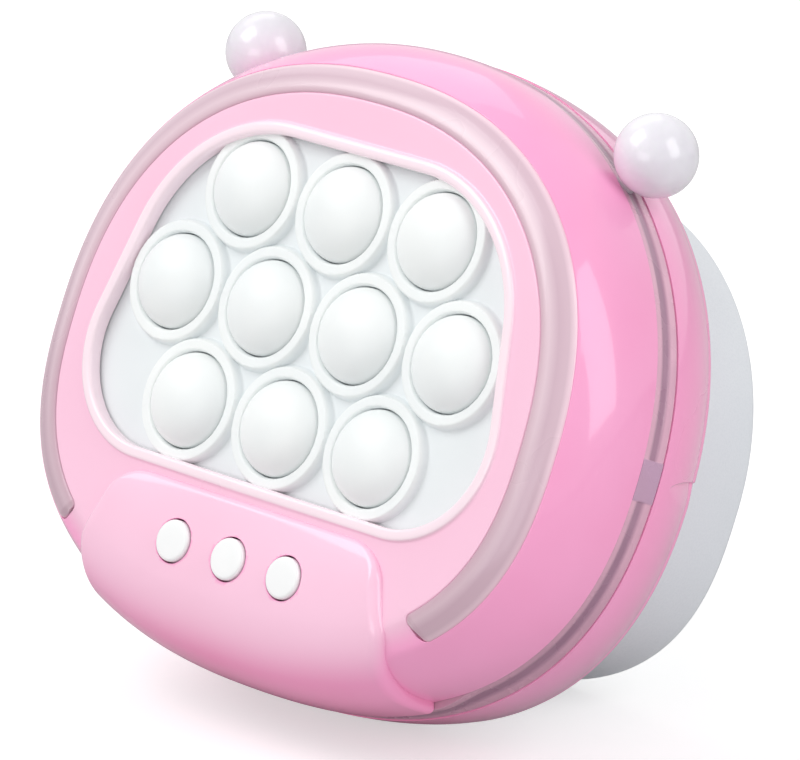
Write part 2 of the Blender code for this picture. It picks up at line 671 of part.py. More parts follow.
def belly_core():
    """The belly stands proud of the face and the underside, inside a rounded upright frame."""
    turns = even_turns()
    outer = [belly_ring(spread, z, depth, turns) for spread, z, depth in belly_profile()]
    root = WALL / 2.0
    inner = [side_ring(share, root, turns) for share in reversed(SIDE_CURVE_SHARES[1:])]
    inner += [
        ring_at(rays(channel_out_outline(0.0), turns), CHANNEL_OUT_Y + root),
        ring_at(rays(channel_in_outline(0.0), turns), FACE_Y + root),
        ring_at(rays(window(BELLY_ROOT), turns), FACE_Y + root),
    ]
    core = skin("belly_core", outer + inner, None, joined=True)
    low = SEAM_BOTTOM - BELLY_DEPTH - OVERRUN
    half, top_half = BELLY_HALF_WIDTH, BELLY_TOP_HALF_WIDTH
    right = [(half, low), (half, BELLY_SHOULDER_Z), (top_half, BELLY_TOP)]
    corners = right + [(-x, z) for x, z in reversed(right)]
    radii = (OVERRUN, BELLY_SHOULDER_RADIUS, BELLY_CORNER)
    radii += tuple(reversed(radii))
    x, z = rounded_polygon(corners, radii, 5)
    frame = np.stack([x, z], 1)
    front = ring_at(frame, BELLY_CREST_Y - OVERRUN)
    back = ring_at(frame, SEAM_FRONT_Y + OVERRUN)
    return guide(combine(core, skin("belly_frame", [front, back], None), "INTERSECT"))


def front_posts():
    """Screw posts that stand on the inside of the front shell."""
    posts = []
    for index, (x, z) in enumerate(CASE_SCREWS):
        root = CHANNEL_OUT_Y + CHANNEL_DEPTH + WALL if z > 0.0 else FACE_INNER_Y
        ends = [(x, root - POST_ROOT, z), (x, CASE_POST_END_Y, z)]
        posts.append(rod(f"case_post_{index}", CASE_POST_RADIUS, *ends, SCREW_STEPS))
    for index, (x, z) in enumerate(BOARD_POSTS):
        ends = [(x, FACE_INNER_Y - POST_ROOT, z), (x, DECK_FLOOR_Y - GAP, z)]
        posts.append(rod(f"board_post_{index}", BOARD_POST_RADIUS, *ends, SCREW_STEPS))
    for index, x in enumerate((BUTTON_POST_X, -BUTTON_POST_X)):
        ends = [(x, FACE_INNER_Y - POST_ROOT, BUTTON_Z), (x, BUTTON_BOARD_Y - GAP, BUTTON_Z)]
        posts.append(rod(f"button_post_{index}", BUTTON_POST_RADIUS, *ends, SCREW_STEPS))
    return group("front_posts", posts)


def front_bores():
    """Holes of the front shell: buttons, screws, and the windows for the lamps."""
    bores = []
    for index, (x, z) in enumerate(button_places()):
        ends = [(x, BELLY_CREST_Y - OVERRUN, z), (x, FACE_INNER_Y + OVERRUN, z)]
        bores.append(rod(f"button_bore_{index}", BUTTON_RADIUS + GAP, *ends, BUTTON_STEPS))
    for index, (x, z) in enumerate(CASE_SCREWS):
        ends = [(x, CASE_SCREW_END_Y - GAP, z), (x, CASE_POST_END_Y + OVERRUN, z)]
        bores.append(rod(f"case_bore_{index}", CASE_SCREW_RADIUS + GAP, *ends, SCREW_STEPS))
    for index, (x, z) in enumerate(BOARD_POSTS):
        ends = [(x, DECK_FLOOR_Y - BOARD_SCREW_GRIP - GAP * 2.0, z), (x, DECK_FLOOR_Y + OVERRUN, z)]
        bores.append(rod(f"board_bore_{index}", BOARD_SCREW_RADIUS + GAP, *ends, SCREW_STEPS))
    for index, x in enumerate((BUTTON_POST_X, -BUTTON_POST_X)):
        ends = [(x, FACE_INNER_Y + GAP, BUTTON_Z), (x, BUTTON_BOARD_Y + OVERRUN, BUTTON_Z)]
        bores.append(rod(f"button_screw_bore_{index}", BUTTON_SCREW_RADIUS + GAP, *ends, SCREW_STEPS))
    middle_y = (FACE_Y + CHANNEL_OUT_Y) / 2.0 + CHANNEL_DEPTH
    for side in (1.0, -1.0):
        for index, (x, z) in enumerate(lamp_places()):
            ends = [(side * x, middle_y - WALL, z), (side * x, middle_y + WALL * 2.0, z)]
            bores.append(rod(f"lamp_bore_{side}_{index}", LAMP_HOLE_RADIUS, *ends, SCREW_STEPS))
    return group("front_bores", bores)


def lamp_places():
    """Middles of the lamps under the light strip's right half."""
    turns = np.array(LAMP_HOLE_TURNS)
    middle = (rays(channel_in_outline(0.0), turns) + rays(channel_out_outline(0.0), turns)) / 2.0
    return [tuple(point) for point in middle.tolist()]


def make_rear_shell():
    """Pink rear: it narrows towards the back, and its back wall lets the white cover through."""
    turns = even_turns()
    start = rays(seam_outline(0.0, REAR_SEAM_BOTTOM), turns)
    end = rays(rear_outline(0.0), turns)
    inner_start = rays(seam_outline(WALL, REAR_SEAM_BOTTOM), turns)
    inner_end = rays(rear_outline(WALL), turns)
    opening = rays(cover_outline(-GAP), turns)
    depth = FOOT_Y - SEAM_REAR_Y

    def side(near, far, share):
        return ring_at(near + (far - near) * share ** 2, SEAM_REAR_Y + depth * share)

    rings = [side(start, end, share) for share in (0.0, 0.4, 0.75, 1.0)]
    rings += [
        ring_at(rays(rear_outline(REAR_FILLET * 0.3), turns), REAR_Y - REAR_FILLET * 0.3),
        ring_at(rays(rear_outline(REAR_FILLET), turns), REAR_Y),
        ring_at(opening, REAR_Y),
        ring_at(opening, REAR_Y - WALL),
        ring_at(rays(rear_outline(WALL), turns), REAR_Y - WALL),
    ]
    rings += [side(inner_start, inner_end, share) for share in (0.75, 0.4, 0.0)]
    shell = skin("rear_shell", rings, PINK, joined=True)
    edge_x = REAR_HALF_WIDTH
    cutters = [
        rod(
            "notch",
            NOTCH_RADIUS,
            (edge_x - NOTCH_REACH, REAR_Y, NOTCH_Z),
            (edge_x + NOTCH_REACH, REAR_Y, NOTCH_Z),
            SCREW_STEPS,
        )
    ]
    for index, (x, z) in enumerate(CASE_SCREWS):
        sunk = REAR_Y - CASE_HEAD_SINK
        ends = [(x, sunk, z), (x, REAR_Y + OVERRUN, z)]
        cutters.append(rod(f"head_sink_{index}", CASE_HEAD_RADIUS + GAP, *ends, SCREW_STEPS))
    combine(shell, group("rear_sinks", cutters), "DIFFERENCE")
    combine(shell, screw_bores("rear_screw_bores", REAR_Y - WALL * 2.0, REAR_Y), "DIFFERENCE")
    return shell


def screw_bores(name, front, back):
    """Clearance bores for the four case screws between two depths."""
    bores = []
    for index, (x, z) in enumerate(CASE_SCREWS):
        ends = [(x, front, z), (x, back, z)]
        bores.append(rod(f"{name}_{index}", CASE_SCREW_RADIUS + GAP, *ends, SCREW_STEPS))
    return group(name, bores)


def make_seam_ring():
    """Clear ring between the shells: recessed outside, with a tongue behind both walls."""
    turns = even_turns()
    front, back = SEAM_FRONT_Y + GAP, SEAM_REAR_Y - GAP
    tongue = WALL + GAP
    section = [
        (RING_RECESS, front),
        (RING_RECESS, back),
        (tongue, back),
        (tongue, back + RING_LAP),
        (tongue + RING_TONGUE, back + RING_LAP),
        (tongue + RING_TONGUE, front - RING_LAP),
        (tongue, front - RING_LAP),
        (tongue, front),
    ]
    rings = [ring_at(rays(seam_outline(inset), turns), depth) for inset, depth in section]
    ring = skin("seam_light_ring", rings, SMOKE, joined=True)
    lugs = []
    for side in (1.0, -1.0):
        near = side * (SEAM_HALF_WIDTH - tongue - GAP)
        far = side * (SEAM_HALF_WIDTH - LUG_RECESS)
        low = (min(near, far), front, LUG_Z - LUG_LENGTH / 2.0)
        high = (max(near, far), back, LUG_Z + LUG_LENGTH / 2.0)
        lugs.append(block(f"lug_{side}", low, high))
    combine(ring, group("ring_lugs", lugs), "UNION")
    bores = []
    for side in (1.0, -1.0):
        middle, along, reach = ear_axis(side)
        start = middle - along * (reach + WALL * 4.0)
        bores.append(rod(f"ear_bore_{side}", EAR_STEM_RADIUS + GAP, start, middle, EAR_STEPS))
    combine(ring, group("ear_bores", bores), "DIFFERENCE")
    return ring


def ear_axis(side):
    """Middle of an ear lamp, the way that its stem points outward, and how far the seam is."""
    x, z = seam_outline(0.0)
    place = round(EAR_TURN / (2.0 * math.pi) * len(x))
    forward_x, forward_z = x[place + 1] - x[place - 1], z[place + 1] - z[place - 1]
    along = np.array((side * forward_z, 0.0, -forward_x)) / math.hypot(forward_x, forward_z)
    foot = np.array((side * x[place], EAR_Y, z[place]))
    return foot + along * EAR_STAND_OFF, along, EAR_STAND_OFF


def make_ear(side, name, led_name):
    """Milky ball on a stem that the seam holds, with a lamp in the stem's foot."""
    middle, along, reach = ear_axis(side)
    tongue_inner = WALL + GAP + RING_TONGUE
    flange = reach + tongue_inner + GAP
    foot = flange + EAR_FLANGE_THICK
    neck = math.asin(EAR_STEM_RADIUS / EAR_RADIUS)
    profile = [(0.0, EAR_RADIUS)]
    for share in (0.14, 0.28, 0.42, 0.56, 0.7, 0.85, 1.0):
        turn = share * (math.pi - neck)
        profile.append((EAR_RADIUS * math.sin(turn), EAR_RADIUS * math.cos(turn)))
    bore = EAR_LED_RADIUS + GAP
    profile += [
        (EAR_STEM_RADIUS, -flange),
        (EAR_FLANGE_RADIUS, -flange),
        (EAR_FLANGE_RADIUS, -foot),
        (bore, -foot),
        (bore, -foot + EAR_LED_LENGTH + GAP),
        (0.0, -foot + EAR_LED_LENGTH + GAP),
    ]
    lamp = ear_turned(name, profile, middle, along, EAR_STEPS, MILKY)
    led_profile = [
        (0.0, -foot + EAR_LED_LENGTH),
        (EAR_LED_RADIUS, -foot + EAR_LED_LENGTH - EAR_LED_RADIUS),
        (EAR_LED_RADIUS, -foot - GAP),
        (EAR_LED_RADIUS * 2.0, -foot - GAP),
        (EAR_LED_RADIUS * 2.0, -foot - GAP - EAR_LED_BASE),
        (0.0, -foot - GAP - EAR_LED_BASE),
    ]
    led = ear_turned(led_name, led_profile, middle, along, SCREW_STEPS, CLEAR)
    return lamp, led


def ear_turned(name, profile, middle, along, steps, material):
    """Turn a profile of (radius, height) points about the ear's own axis."""
    across = np.array((0.0, 1.0, 0.0))
    other = np.cross(along, across)
    turn = np.linspace(0.0, 2.0 * math.pi, steps, endpoint=False)
    rings = []
    for radius, height in profile:
        if radius == 0.0:
            rings.append([tuple(along * height)])
        else:
            spread = radius * (np.outer(np.cos(turn), across) + np.outer(np.sin(turn), other))
            rings.append((along * height + spread).tolist())
    item = skin(name, rings, material)
    item.location = middle
    return item


def make_light_strip():
    """Milky strip that fills the channel, crowned across, from one lower end to the other."""
    ends = (-STRIP_END_TURN, math.pi + STRIP_END_TURN)
    inside = [turn for turn in channel_turns() if ends[0] < turn < ends[1]]
    turns = np.array([ends[0]] + [t for t in inside if in_channel(np.array([t]))[0]] + [ends[1]])
    near = rays(channel_in_outline(-CHANNEL_DRAFT - GAP), turns)
    far = rays(channel_out_outline(CHANNEL_DRAFT + GAP), turns)
    section = []
    for step in range(STRIP_ACROSS + 1):
        share = step / STRIP_ACROSS
        level = FACE_Y + (CHANNEL_OUT_Y - FACE_Y) * share
        crown = STRIP_CROWN * (2.0 * math.sqrt(max(share * (1.0 - share), 0.0)) * 2.0 - 1.0)
        section.append(ring_at(near + (far - near) * share, level - crown))
    section.append(ring_at(far, CHANNEL_OUT_Y + CHANNEL_DEPTH - GAP))
    section.append(ring_at(near, FACE_Y + CHANNEL_DEPTH - GAP))
    rings = np.stack(section, 1)
    return skin("front_light_strip", [ring.tolist() for ring in rings], MILKY_SMOKE)


def make_lamp_board(side, name):
    """Narrow curved board of lamps behind one side of the light channel."""
    turns = np.linspace(*LAMP_BOARD_TURNS, LAMP_BOARD_STEPS)
    near = rays(channel_in_outline(WALL / 2.0), turns)
    far = rays(channel_out_outline(0.0), turns)
    low, high = LAMP_BOARD_INSET_SHARE, 1.0 - LAMP_BOARD_INSET_SHARE
    sections = []
    for share, lift in ((low, 0.0), (high, 0.0), (high, LAMP_BOARD_THICK), (low, LAMP_BOARD_THICK)):
        floor = FACE_INNER_Y + (CHANNEL_OUT_Y + WALL - FACE_INNER_Y) * share
        ring = ring_at(near + (far - near) * share, floor + CHANNEL_DEPTH + GAP + lift)
        sections.append(ring * np.array((side, 1.0, 1.0)))
    rings = np.stack(sections, 1)
    return skin(name, [ring.tolist() for ring in rings], BOARD_GREEN)


def make_pad():
    """Soft white pad: a flat sheet behind the window, with a raised ring round each hole."""
    turns = even_turns()
    sheet_edge = rays(window(PAD_FLANGE - RIM_WIDTH), turns)
    pad = skin(
        "bubble_pad", [ring_at(sheet_edge, PAD_FRONT_Y), ring_at(sheet_edge, PAD_BACK_Y)], SILICONE
    )
    inner = BUBBLE_RADIUS + PAD_CLEARANCE
    profile = [
        (0.0, PAD_BACK_Y - PAD_THICK / 2.0),
        (inner + RING_WIDTH, PAD_BACK_Y - PAD_THICK / 2.0),
        (inner + RING_WIDTH, PAD_FRONT_Y - GAP),
        (inner + RING_WIDTH * 0.6, -RING_CREST),
        (0.0, -RING_CREST),
    ]
    raised = []
    holes = []
    for index, (x, z) in enumerate(bubble_places()):
        at = (x, 0.0, z)
        raised.append(turned(f"ring_{index}", profile, BUBBLE_STEPS, None, at))
        ends = [(x, PAD_FRONT_Y - RING_CREST * 2.0, z), (x, PAD_BACK_Y + OVERRUN, z)]
        holes.append(rod(f"hole_{index}", inner, *ends, BUBBLE_STEPS))
    rings = group("pad_rings", raised)
    reach = rays(window(-RIM_WIDTH - GAP), turns)
    front = ring_at(reach, PAD_FRONT_Y - RING_CREST * 2.0)
    back = ring_at(reach, PAD_BACK_Y - PAD_THICK / 4.0)
    combine(rings, skin("pad_reach", [front, back], None), "INTERSECT")
    combine(pad, rings, "UNION")
    combine(pad, group("pad_holes", holes), "DIFFERENCE")
    return pad


def bubble_profile():
    """Section of one bubble, from its crown out to its flange and back up inside."""
    outer = []
    base = BUBBLE_SHOULDER
    for share in (0.0, 0.35, 0.7, 1.0):
        turn = share * math.pi / 2.0
        height = base - (BUBBLE_CROWN + base) * math.cos(turn)
        outer.append((BUBBLE_RADIUS * math.sin(turn), height))
    flange = BUBBLE_RADIUS + BUBBLE_FLANGE
    back = DECK_Y + BUBBLE_FLANGE_THICK
    inner_radius = BUBBLE_RADIUS - BUBBLE_WALL
    inner = [(inner_radius, back), (inner_radius, base)]
    for share in (0.6, 0.0):
        turn = share * math.pi / 2.0
        height = base - (BUBBLE_CROWN + base - BUBBLE_WALL) * math.cos(turn)
        inner.append((inner_radius * math.sin(turn), height))
    return outer + [(BUBBLE_RADIUS, DECK_Y), (flange, DECK_Y), (flange, back)] + inner


def plunger_profile():
    """Section of the light plunger under a bubble: a plate with a stem behind it."""
    plate = BUBBLE_RADIUS + BUBBLE_FLANGE
    back = PLUNGER_Y + PLUNGER_PLATE
    return [
        (0.0, PLUNGER_Y),
        (plate, PLUNGER_Y),
        (plate, back),
        (PLUNGER_STEM_RADIUS, back),
        (PLUNGER_STEM_RADIUS, STEM_END_Y),
        (0.0, STEM_END_Y),
    ]


def make_bubbles():
    """Ten hollow domes and the ten light plungers that they push."""
    dome = None
    plunger = None
    for index, (x, z) in enumerate(bubble_places()):
        at = (x, 0.0, z)
        number = f"{index + 1:02d}"
        if dome is None:
            dome = turned(f"bubble_{number}", bubble_profile(), BUBBLE_STEPS, SILICONE, at)
            plunger = turned(f"plunger_{number}", plunger_profile(), SCREW_STEPS, MILKY, at)
        else:
            copied(dome, f"bubble_{number}", at)
            copied(plunger, f"plunger_{number}", at)


def plate_outline(turns):
    """Outline that the deck's floor and the main board share, past the window on all sides."""
    return rays(window(PLATE_MARGIN), turns)


def post_clearance(name, front, back):
    """Notches that keep a plate clear of the case screw posts."""
    notches = []
    for index, (x, z) in enumerate(CASE_SCREWS):
        ends = [(x, front - OVERRUN, z), (x, back + OVERRUN, z)]
        notches.append(rod(f"{name}_{index}", CASE_POST_RADIUS + WELL_CLEARANCE, *ends, SCREW_STEPS))
    return group(name, notches)


def make_deck():
    """White deck: a well for each plunger, a floor with a guide hole, and four spacers."""
    turns = even_turns()
    block_edge = rays(window(PAD_FLANGE - RIM_WIDTH), turns)
    floor_edge = plate_outline(turns)
    rings = [
        ring_at(block_edge, DECK_Y),
        ring_at(block_edge, DECK_FLOOR_Y),
        ring_at(floor_edge, DECK_FLOOR_Y),
        ring_at(floor_edge, DECK_BACK_Y),
    ]
    deck = skin("key_deck", rings, WHITE)
    wells = []
    holes = []
    for index, (x, z) in enumerate(bubble_places()):
        ends = [(x, DECK_Y - OVERRUN, z), (x, DECK_FLOOR_Y, z)]
        wells.append(rod(f"well_{index}", WELL_RADIUS, *ends, BUBBLE_STEPS))
        ends = [(x, DECK_FLOOR_Y - OVERRUN, z), (x, DECK_BACK_Y + OVERRUN, z)]
        radius = PLUNGER_STEM_RADIUS + STEM_CLEARANCE
        holes.append(rod(f"stem_hole_{index}", radius, *ends, SCREW_STEPS))
    spacers = []
    for index, (x, z) in enumerate(BOARD_POSTS):
        ends = [(x, DECK_FLOOR_Y + DECK_FLOOR / 2.0, z), (x, BOARD_Y - GAP, z)]
        spacers.append(rod(f"spacer_{index}", BOARD_POST_RADIUS, *ends, SCREW_STEPS))
        ends = [(x, DECK_FLOOR_Y - OVERRUN, z), (x, BOARD_Y + OVERRUN, z)]
        holes.append(rod(f"deck_screw_hole_{index}", BOARD_SCREW_RADIUS + GAP, *ends, SCREW_STEPS))
    combine(deck, group("deck_wells", wells), "DIFFERENCE")
    combine(deck, group("deck_spacers", spacers), "UNION")
    combine(deck, group("deck_holes", holes), "DIFFERENCE")
    combine(deck, post_clearance("deck_notch", DECK_FLOOR_Y, DECK_BACK_Y), "DIFFERENCE")
    return deck


def switch_parts(name, x, z, board_front):
    """Body and tip of one push switch, rooted in its board."""
    half = SWITCH_SIZE / 2.0
    root = board_front + SWITCH_ROOT
    body_front = board_front - SWITCH_HEIGHT
    low, high = (x - half, body_front, z - half), (x + half, root, z + half)
    tip = [(x, body_front - SWITCH_TIP, z), (x, body_front + SWITCH_ROOT, z)]
    body = block(f"{name}_body", low, high)
    cap = rod(f"{name}_tip", SWITCH_TIP_RADIUS, *tip, SCREW_STEPS)
    return body, cap


def make_main_board():
    """Main circuit board, with a push switch behind each plunger."""
    turns = even_turns()
    edge = plate_outline(turns)
    rings = [ring_at(edge, BOARD_Y), ring_at(edge, BOARD_Y + BOARD_THICK)]
    board = skin("main_board", rings, BOARD_GREEN)
    bodies, tips = [], []
    for index, (x, z) in enumerate(bubble_places()):
        body, tip = switch_parts(f"switch_{index}", x, z, BOARD_Y)
        bodies.append(body)
        tips.append(tip)
    combine(board, group("switch_bodies", bodies), "UNION")
    combine(board, group("switch_tips", tips), "UNION")
    holes = []
    for index, (x, z) in enumerate(BOARD_POSTS):
        ends = [(x, BOARD_Y - OVERRUN, z), (x, BOARD_Y + BOARD_THICK + OVERRUN, z)]
        holes.append(rod(f"board_hole_{index}", BOARD_SCREW_RADIUS + GAP, *ends, SCREW_STEPS))
    combine(board, group("board_holes", holes), "DIFFERENCE")
    notch = post_clearance("board_notch", BOARD_Y, BOARD_Y + BOARD_THICK)
    combine(board, notch, "DIFFERENCE")
    return board


def screw_profile(radius, head_radius, head_thick, seat, end):
    """Section of a screw whose head bears on a seat and whose shank runs forward to an end."""
    return [
        (0.0, seat + head_thick),
        (head_radius, seat + head_thick),
        (head_radius, seat),
        (radius, seat),
        (radius, end),
        (0.0, end),
    ]


def make_screws():
    """Case screws through the back wall, and the small screws that hold the two boards."""
    seat = REAR_Y - CASE_HEAD_SINK + GAP
    profile = screw_profile(
        CASE_SCREW_RADIUS, CASE_HEAD_RADIUS, CASE_HEAD_THICK, seat, CASE_SCREW_END_Y
    )
    screw_set("case_screw", profile, CASE_SCREWS)
    seat = BOARD_Y + BOARD_THICK + GAP
    end = DECK_FLOOR_Y - BOARD_SCREW_GRIP
    head = BOARD_SCREW_RADIUS * 2.0
    profile = screw_profile(BOARD_SCREW_RADIUS, head, BOARD_SCREW_RADIUS, seat, end)
    screw_set("board_screw", profile, BOARD_POSTS)
    seat = BUTTON_BOARD_Y + BUTTON_BOARD_THICK + GAP
    end = BUTTON_BOARD_Y - BUTTON_BOARD_THICK * 3.0
    head = BUTTON_SCREW_RADIUS * 2.0
    profile = screw_profile(BUTTON_SCREW_RADIUS, head, BUTTON_SCREW_RADIUS, seat, end)
    screw_set("button_screw", profile, [(BUTTON_POST_X, BUTTON_Z), (-BUTTON_POST_X, BUTTON_Z)])


def screw_set(name, profile, places):
    """Screws of one kind, numbered from one."""
    first = None
    for index, (x, z) in enumerate(places):
        label = f"{name}_{index + 1}"
        if first is None:
            first = turned(label, profile, SCREW_STEPS, STEEL, (x, 0.0, z))
        else:
            copied(first, label, (x, 0.0, z))


def make_buttons():
    """Three white button caps, held from behind by a flange."""
    front = BELLY_CREST_Y - BUTTON_PROUD
    flange_back = PAD_FRONT_Y + BUTTON_FLANGE_THICK
    profile = [
        (0.0, front),
        (BUTTON_RADIUS - BUTTON_EDGE * 2.0, front + BUTTON_EDGE * 0.2),
        (BUTTON_RADIUS - BUTTON_EDGE * 0.4, front + BUTTON_EDGE * 0.6),
        (BUTTON_RADIUS, front + BUTTON_EDGE * 1.4),
        (BUTTON_RADIUS, PAD_FRONT_Y),
        (BUTTON_RADIUS + BUTTON_FLANGE, PAD_FRONT_Y),
        (BUTTON_RADIUS + BUTTON_FLANGE, flange_back),
        (BUTTON_STEM_RADIUS, flange_back),
        (BUTTON_STEM_RADIUS, BUTTON_STEM_END_Y),
        (0.0, BUTTON_STEM_END_Y),
    ]
    first = None
    for name, (x, z) in zip(("mode_button", "power_button", "sound_button"), button_places()):
        if first is None:
            first = turned(name, profile, BUTTON_STEPS, WHITE, (x, 0.0, z))
        else:
            copied(first, name, (x, 0.0, z))


def make_button_board():
    """Small circuit board with three push switches behind the buttons."""
    half, height = BUTTON_BOARD_HALF, BUTTON_BOARD_HEIGHT / 2.0
    front, back = BUTTON_BOARD_Y, BUTTON_BOARD_Y + BUTTON_BOARD_THICK
    low, high = (-half, front, BUTTON_Z - height), (half, back, BUTTON_Z + height)
    board = block("button_board", low, high, BOARD_GREEN)
    bodies, tips = [], []
    for index, (x, z) in enumerate(button_places()):
        body, tip = switch_parts(f"button_switch_{index}", x, z, front)
        bodies.append(body)
        tips.append(tip)
    combine(board, group("button_switch_bodies", bodies), "UNION")
    combine(board, group("button_switch_tips", tips), "UNION")
    holes = []
    for index, x in enumerate((BUTTON_POST_X, -BUTTON_POST_X)):
        ends = [(x, front - OVERRUN, BUTTON_Z), (x, back + OVERRUN, BUTTON_Z)]
        radius = BUTTON_SCREW_RADIUS + GAP
        holes.append(rod(f"button_board_hole_{index}", radius, *ends, SCREW_STEPS))
    combine(board, group("button_board_holes", holes), "DIFFERENCE")
    return board


def make_rear_cover():
    """White rear cover: an inner flange, a deep cup, the battery tray and the speaker's seat."""
    turns = even_turns()
    flange = rays(rear_outline(FLANGE_INSET), turns)
    wall = rays(cover_outline(0.0), turns)
    inner = rays(cover_outline(COVER_WALL), turns)
    fillet = COVER_FILLET
    rings = [
        ring_at(inner, FLANGE_FRONT_Y),
        ring_at(flange, FLANGE_FRONT_Y),
        ring_at(flange, FLANGE_BACK_Y),
        ring_at(wall, FLANGE_BACK_Y),
        ring_at(wall, COVER_Y - fillet),
        ring_at(rays(cover_outline(fillet * 0.3), turns), COVER_Y - fillet * 0.3),
        ring_at(rays(cover_outline(fillet), turns), COVER_Y),
    ]
    cover = skin("rear_cover", rings, COVER_WHITE)
    hollow = [ring_at(inner, FLANGE_FRONT_Y - OVERRUN), ring_at(inner, COVER_INNER_Y)]
    combine(cover, skin("cover_hollow", hollow, None), "DIFFERENCE")
    combine(cover, cover_additions(), "UNION")
    combine(cover, cover_posts(), "UNION")
    combine(cover, cover_recesses(), "DIFFERENCE")
    combine(cover, cover_bores(), "DIFFERENCE")
    return cover


def cover_additions():
    """Battery tray and speaker seat, which stand on the cover's rear wall inside."""
    half_x, half_z = TRAY_HALF_X + TRAY_WALL, TRAY_HALF_Z + TRAY_WALL
    low = (-half_x, TRAY_FLOOR_Y - TRAY_WALL, CELL_MID_Z - half_z)
    high = (half_x, COVER_INNER_Y + COVER_WALL / 2.0, CELL_MID_Z + half_z)
    tray = block("tray_outside", low, high)
    half_x = DOOR_HALF_X + DOOR_LEDGE
    low = (-half_x, COVER_INNER_Y - DOOR_LEDGE, DOOR_BOTTOM_Z - DOOR_LEDGE)
    high = (half_x, COVER_INNER_Y + COVER_WALL / 4.0, DOOR_TOP_Z + DOOR_LEDGE)
    combine(tray, block("door_ledge", low, high), "UNION")
    inner, outer = SPEAKER_RADIUS + GAP, SPEAKER_RADIUS + GAP + SPEAKER_SEAT_WALL
    front = COVER_INNER_Y - SPEAKER_DEPTH * 0.8
    back = COVER_INNER_Y + COVER_WALL / 2.0
    profile = [(inner, front), (outer, front), (outer, back), (inner, back)]
    at = (0.0, 0.0, SPEAKER_Z)
    seat = turned("speaker_seat", profile, SPEAKER_STEPS, None, at, joined=True)
    return guide(combine(tray, seat, "UNION"))


def cover_posts():
    """Tubes for the case screws, and the post that takes the door's screw."""
    posts = []
    for index, (x, z) in enumerate(CASE_SCREWS):
        ends = [(x, CASE_POST_END_Y + GAP, z), (x, FLANGE_FRONT_Y + WALL / 2.0, z)]
        posts.append(rod(f"cover_post_{index}", CASE_POST_RADIUS, *ends, SCREW_STEPS))
    front = DOOR_INNER_Y - DOOR_BOSS_DEPTH - DOOR_SCREW_LENGTH
    back = DOOR_INNER_Y - DOOR_BOSS_DEPTH - GAP
    low = (-DOOR_BOSS_RADIUS, front, CELL_MID_Z + TRAY_HALF_Z + TRAY_WALL / 2.0)
    high = (DOOR_BOSS_RADIUS, back, DOOR_SCREW_Z + DOOR_BOSS_RADIUS)
    posts.append(block("door_screw_post", low, high))
    return group("cover_posts", posts)


def cover_recesses():
    """The door's opening, the hollow of the battery tray, and the sockets of the door's pins."""
    low = (-DOOR_HALF_X - GAP, DOOR_INNER_Y - GAP, DOOR_BOTTOM_Z - GAP)
    high = (DOOR_HALF_X + GAP, COVER_Y + OVERRUN, DOOR_TOP_Z + GAP)
    opening = block("door_opening", low, high)
    low = (-TRAY_HALF_X, TRAY_FLOOR_Y, CELL_MID_Z - TRAY_HALF_Z)
    high = (TRAY_HALF_X, DOOR_INNER_Y, CELL_MID_Z + TRAY_HALF_Z)
    combine(opening, block("tray_hollow", low, high), "UNION")
    ends = [
        (0.0, DOOR_INNER_Y - DOOR_BOSS_DEPTH - GAP, DOOR_SCREW_Z),
        (0.0, DOOR_INNER_Y, DOOR_SCREW_Z),
    ]
    well = rod("boss_well", DOOR_BOSS_RADIUS + DOOR_SCREW_PLAY, *ends, SCREW_STEPS)
    combine(opening, well, "UNION")
    reach = DOOR_HALF_X + DOOR_PIN_LENGTH + GAP
    start, end = (-reach, DOOR_AXIS_Y, DOOR_AXIS_Z), (reach, DOOR_AXIS_Y, DOOR_AXIS_Z)
    socket = rod("door_socket", DOOR_PIN_RADIUS + GAP, start, end, SCREW_STEPS)
    combine(opening, socket, "UNION")
    return guide(opening)


def cover_bores():
    """Speaker grille and screw holes of the rear cover."""
    bores = []
    for index, (x, z) in enumerate(grille_places()):
        ends = [(x, COVER_INNER_Y - OVERRUN, z), (x, COVER_Y + OVERRUN, z)]
        bores.append(rod(f"grille_{index}", GRILLE_HOLE_RADIUS, *ends, GRILLE_STEPS))
    for index, (x, z) in enumerate(CASE_SCREWS):
        ends = [(x, CASE_POST_END_Y - OVERRUN, z), (x, FLANGE_BACK_Y + OVERRUN, z)]
        bores.append(rod(f"cover_bore_{index}", CASE_SCREW_RADIUS + GAP, *ends, SCREW_STEPS))
    front = DOOR_INNER_Y - DOOR_BOSS_DEPTH - DOOR_SCREW_LENGTH + OVERRUN
    ends = [(0.0, front, DOOR_SCREW_Z), (0.0, COVER_INNER_Y, DOOR_SCREW_Z)]
    bores.append(rod("door_post_bore", DOOR_SCREW_RADIUS + DOOR_SCREW_PLAY, *ends, SCREW_STEPS))
    return group("cover_bores", bores)


def grille_places():
    """Holes of the speaker grille, in a hexagonal patch of rings round the middle one."""
    places = []
    for row in range(-GRILLE_RINGS, GRILLE_RINGS + 1):
        count = 2 * GRILLE_RINGS + 1 - abs(row)
        for column in range(count):
            x = GRILLE_PITCH * (column - (count - 1) / 2.0)
            places.append((x, SPEAKER_Z + row * GRILLE_PITCH * math.sqrt(3.0) / 2.0))
    return places


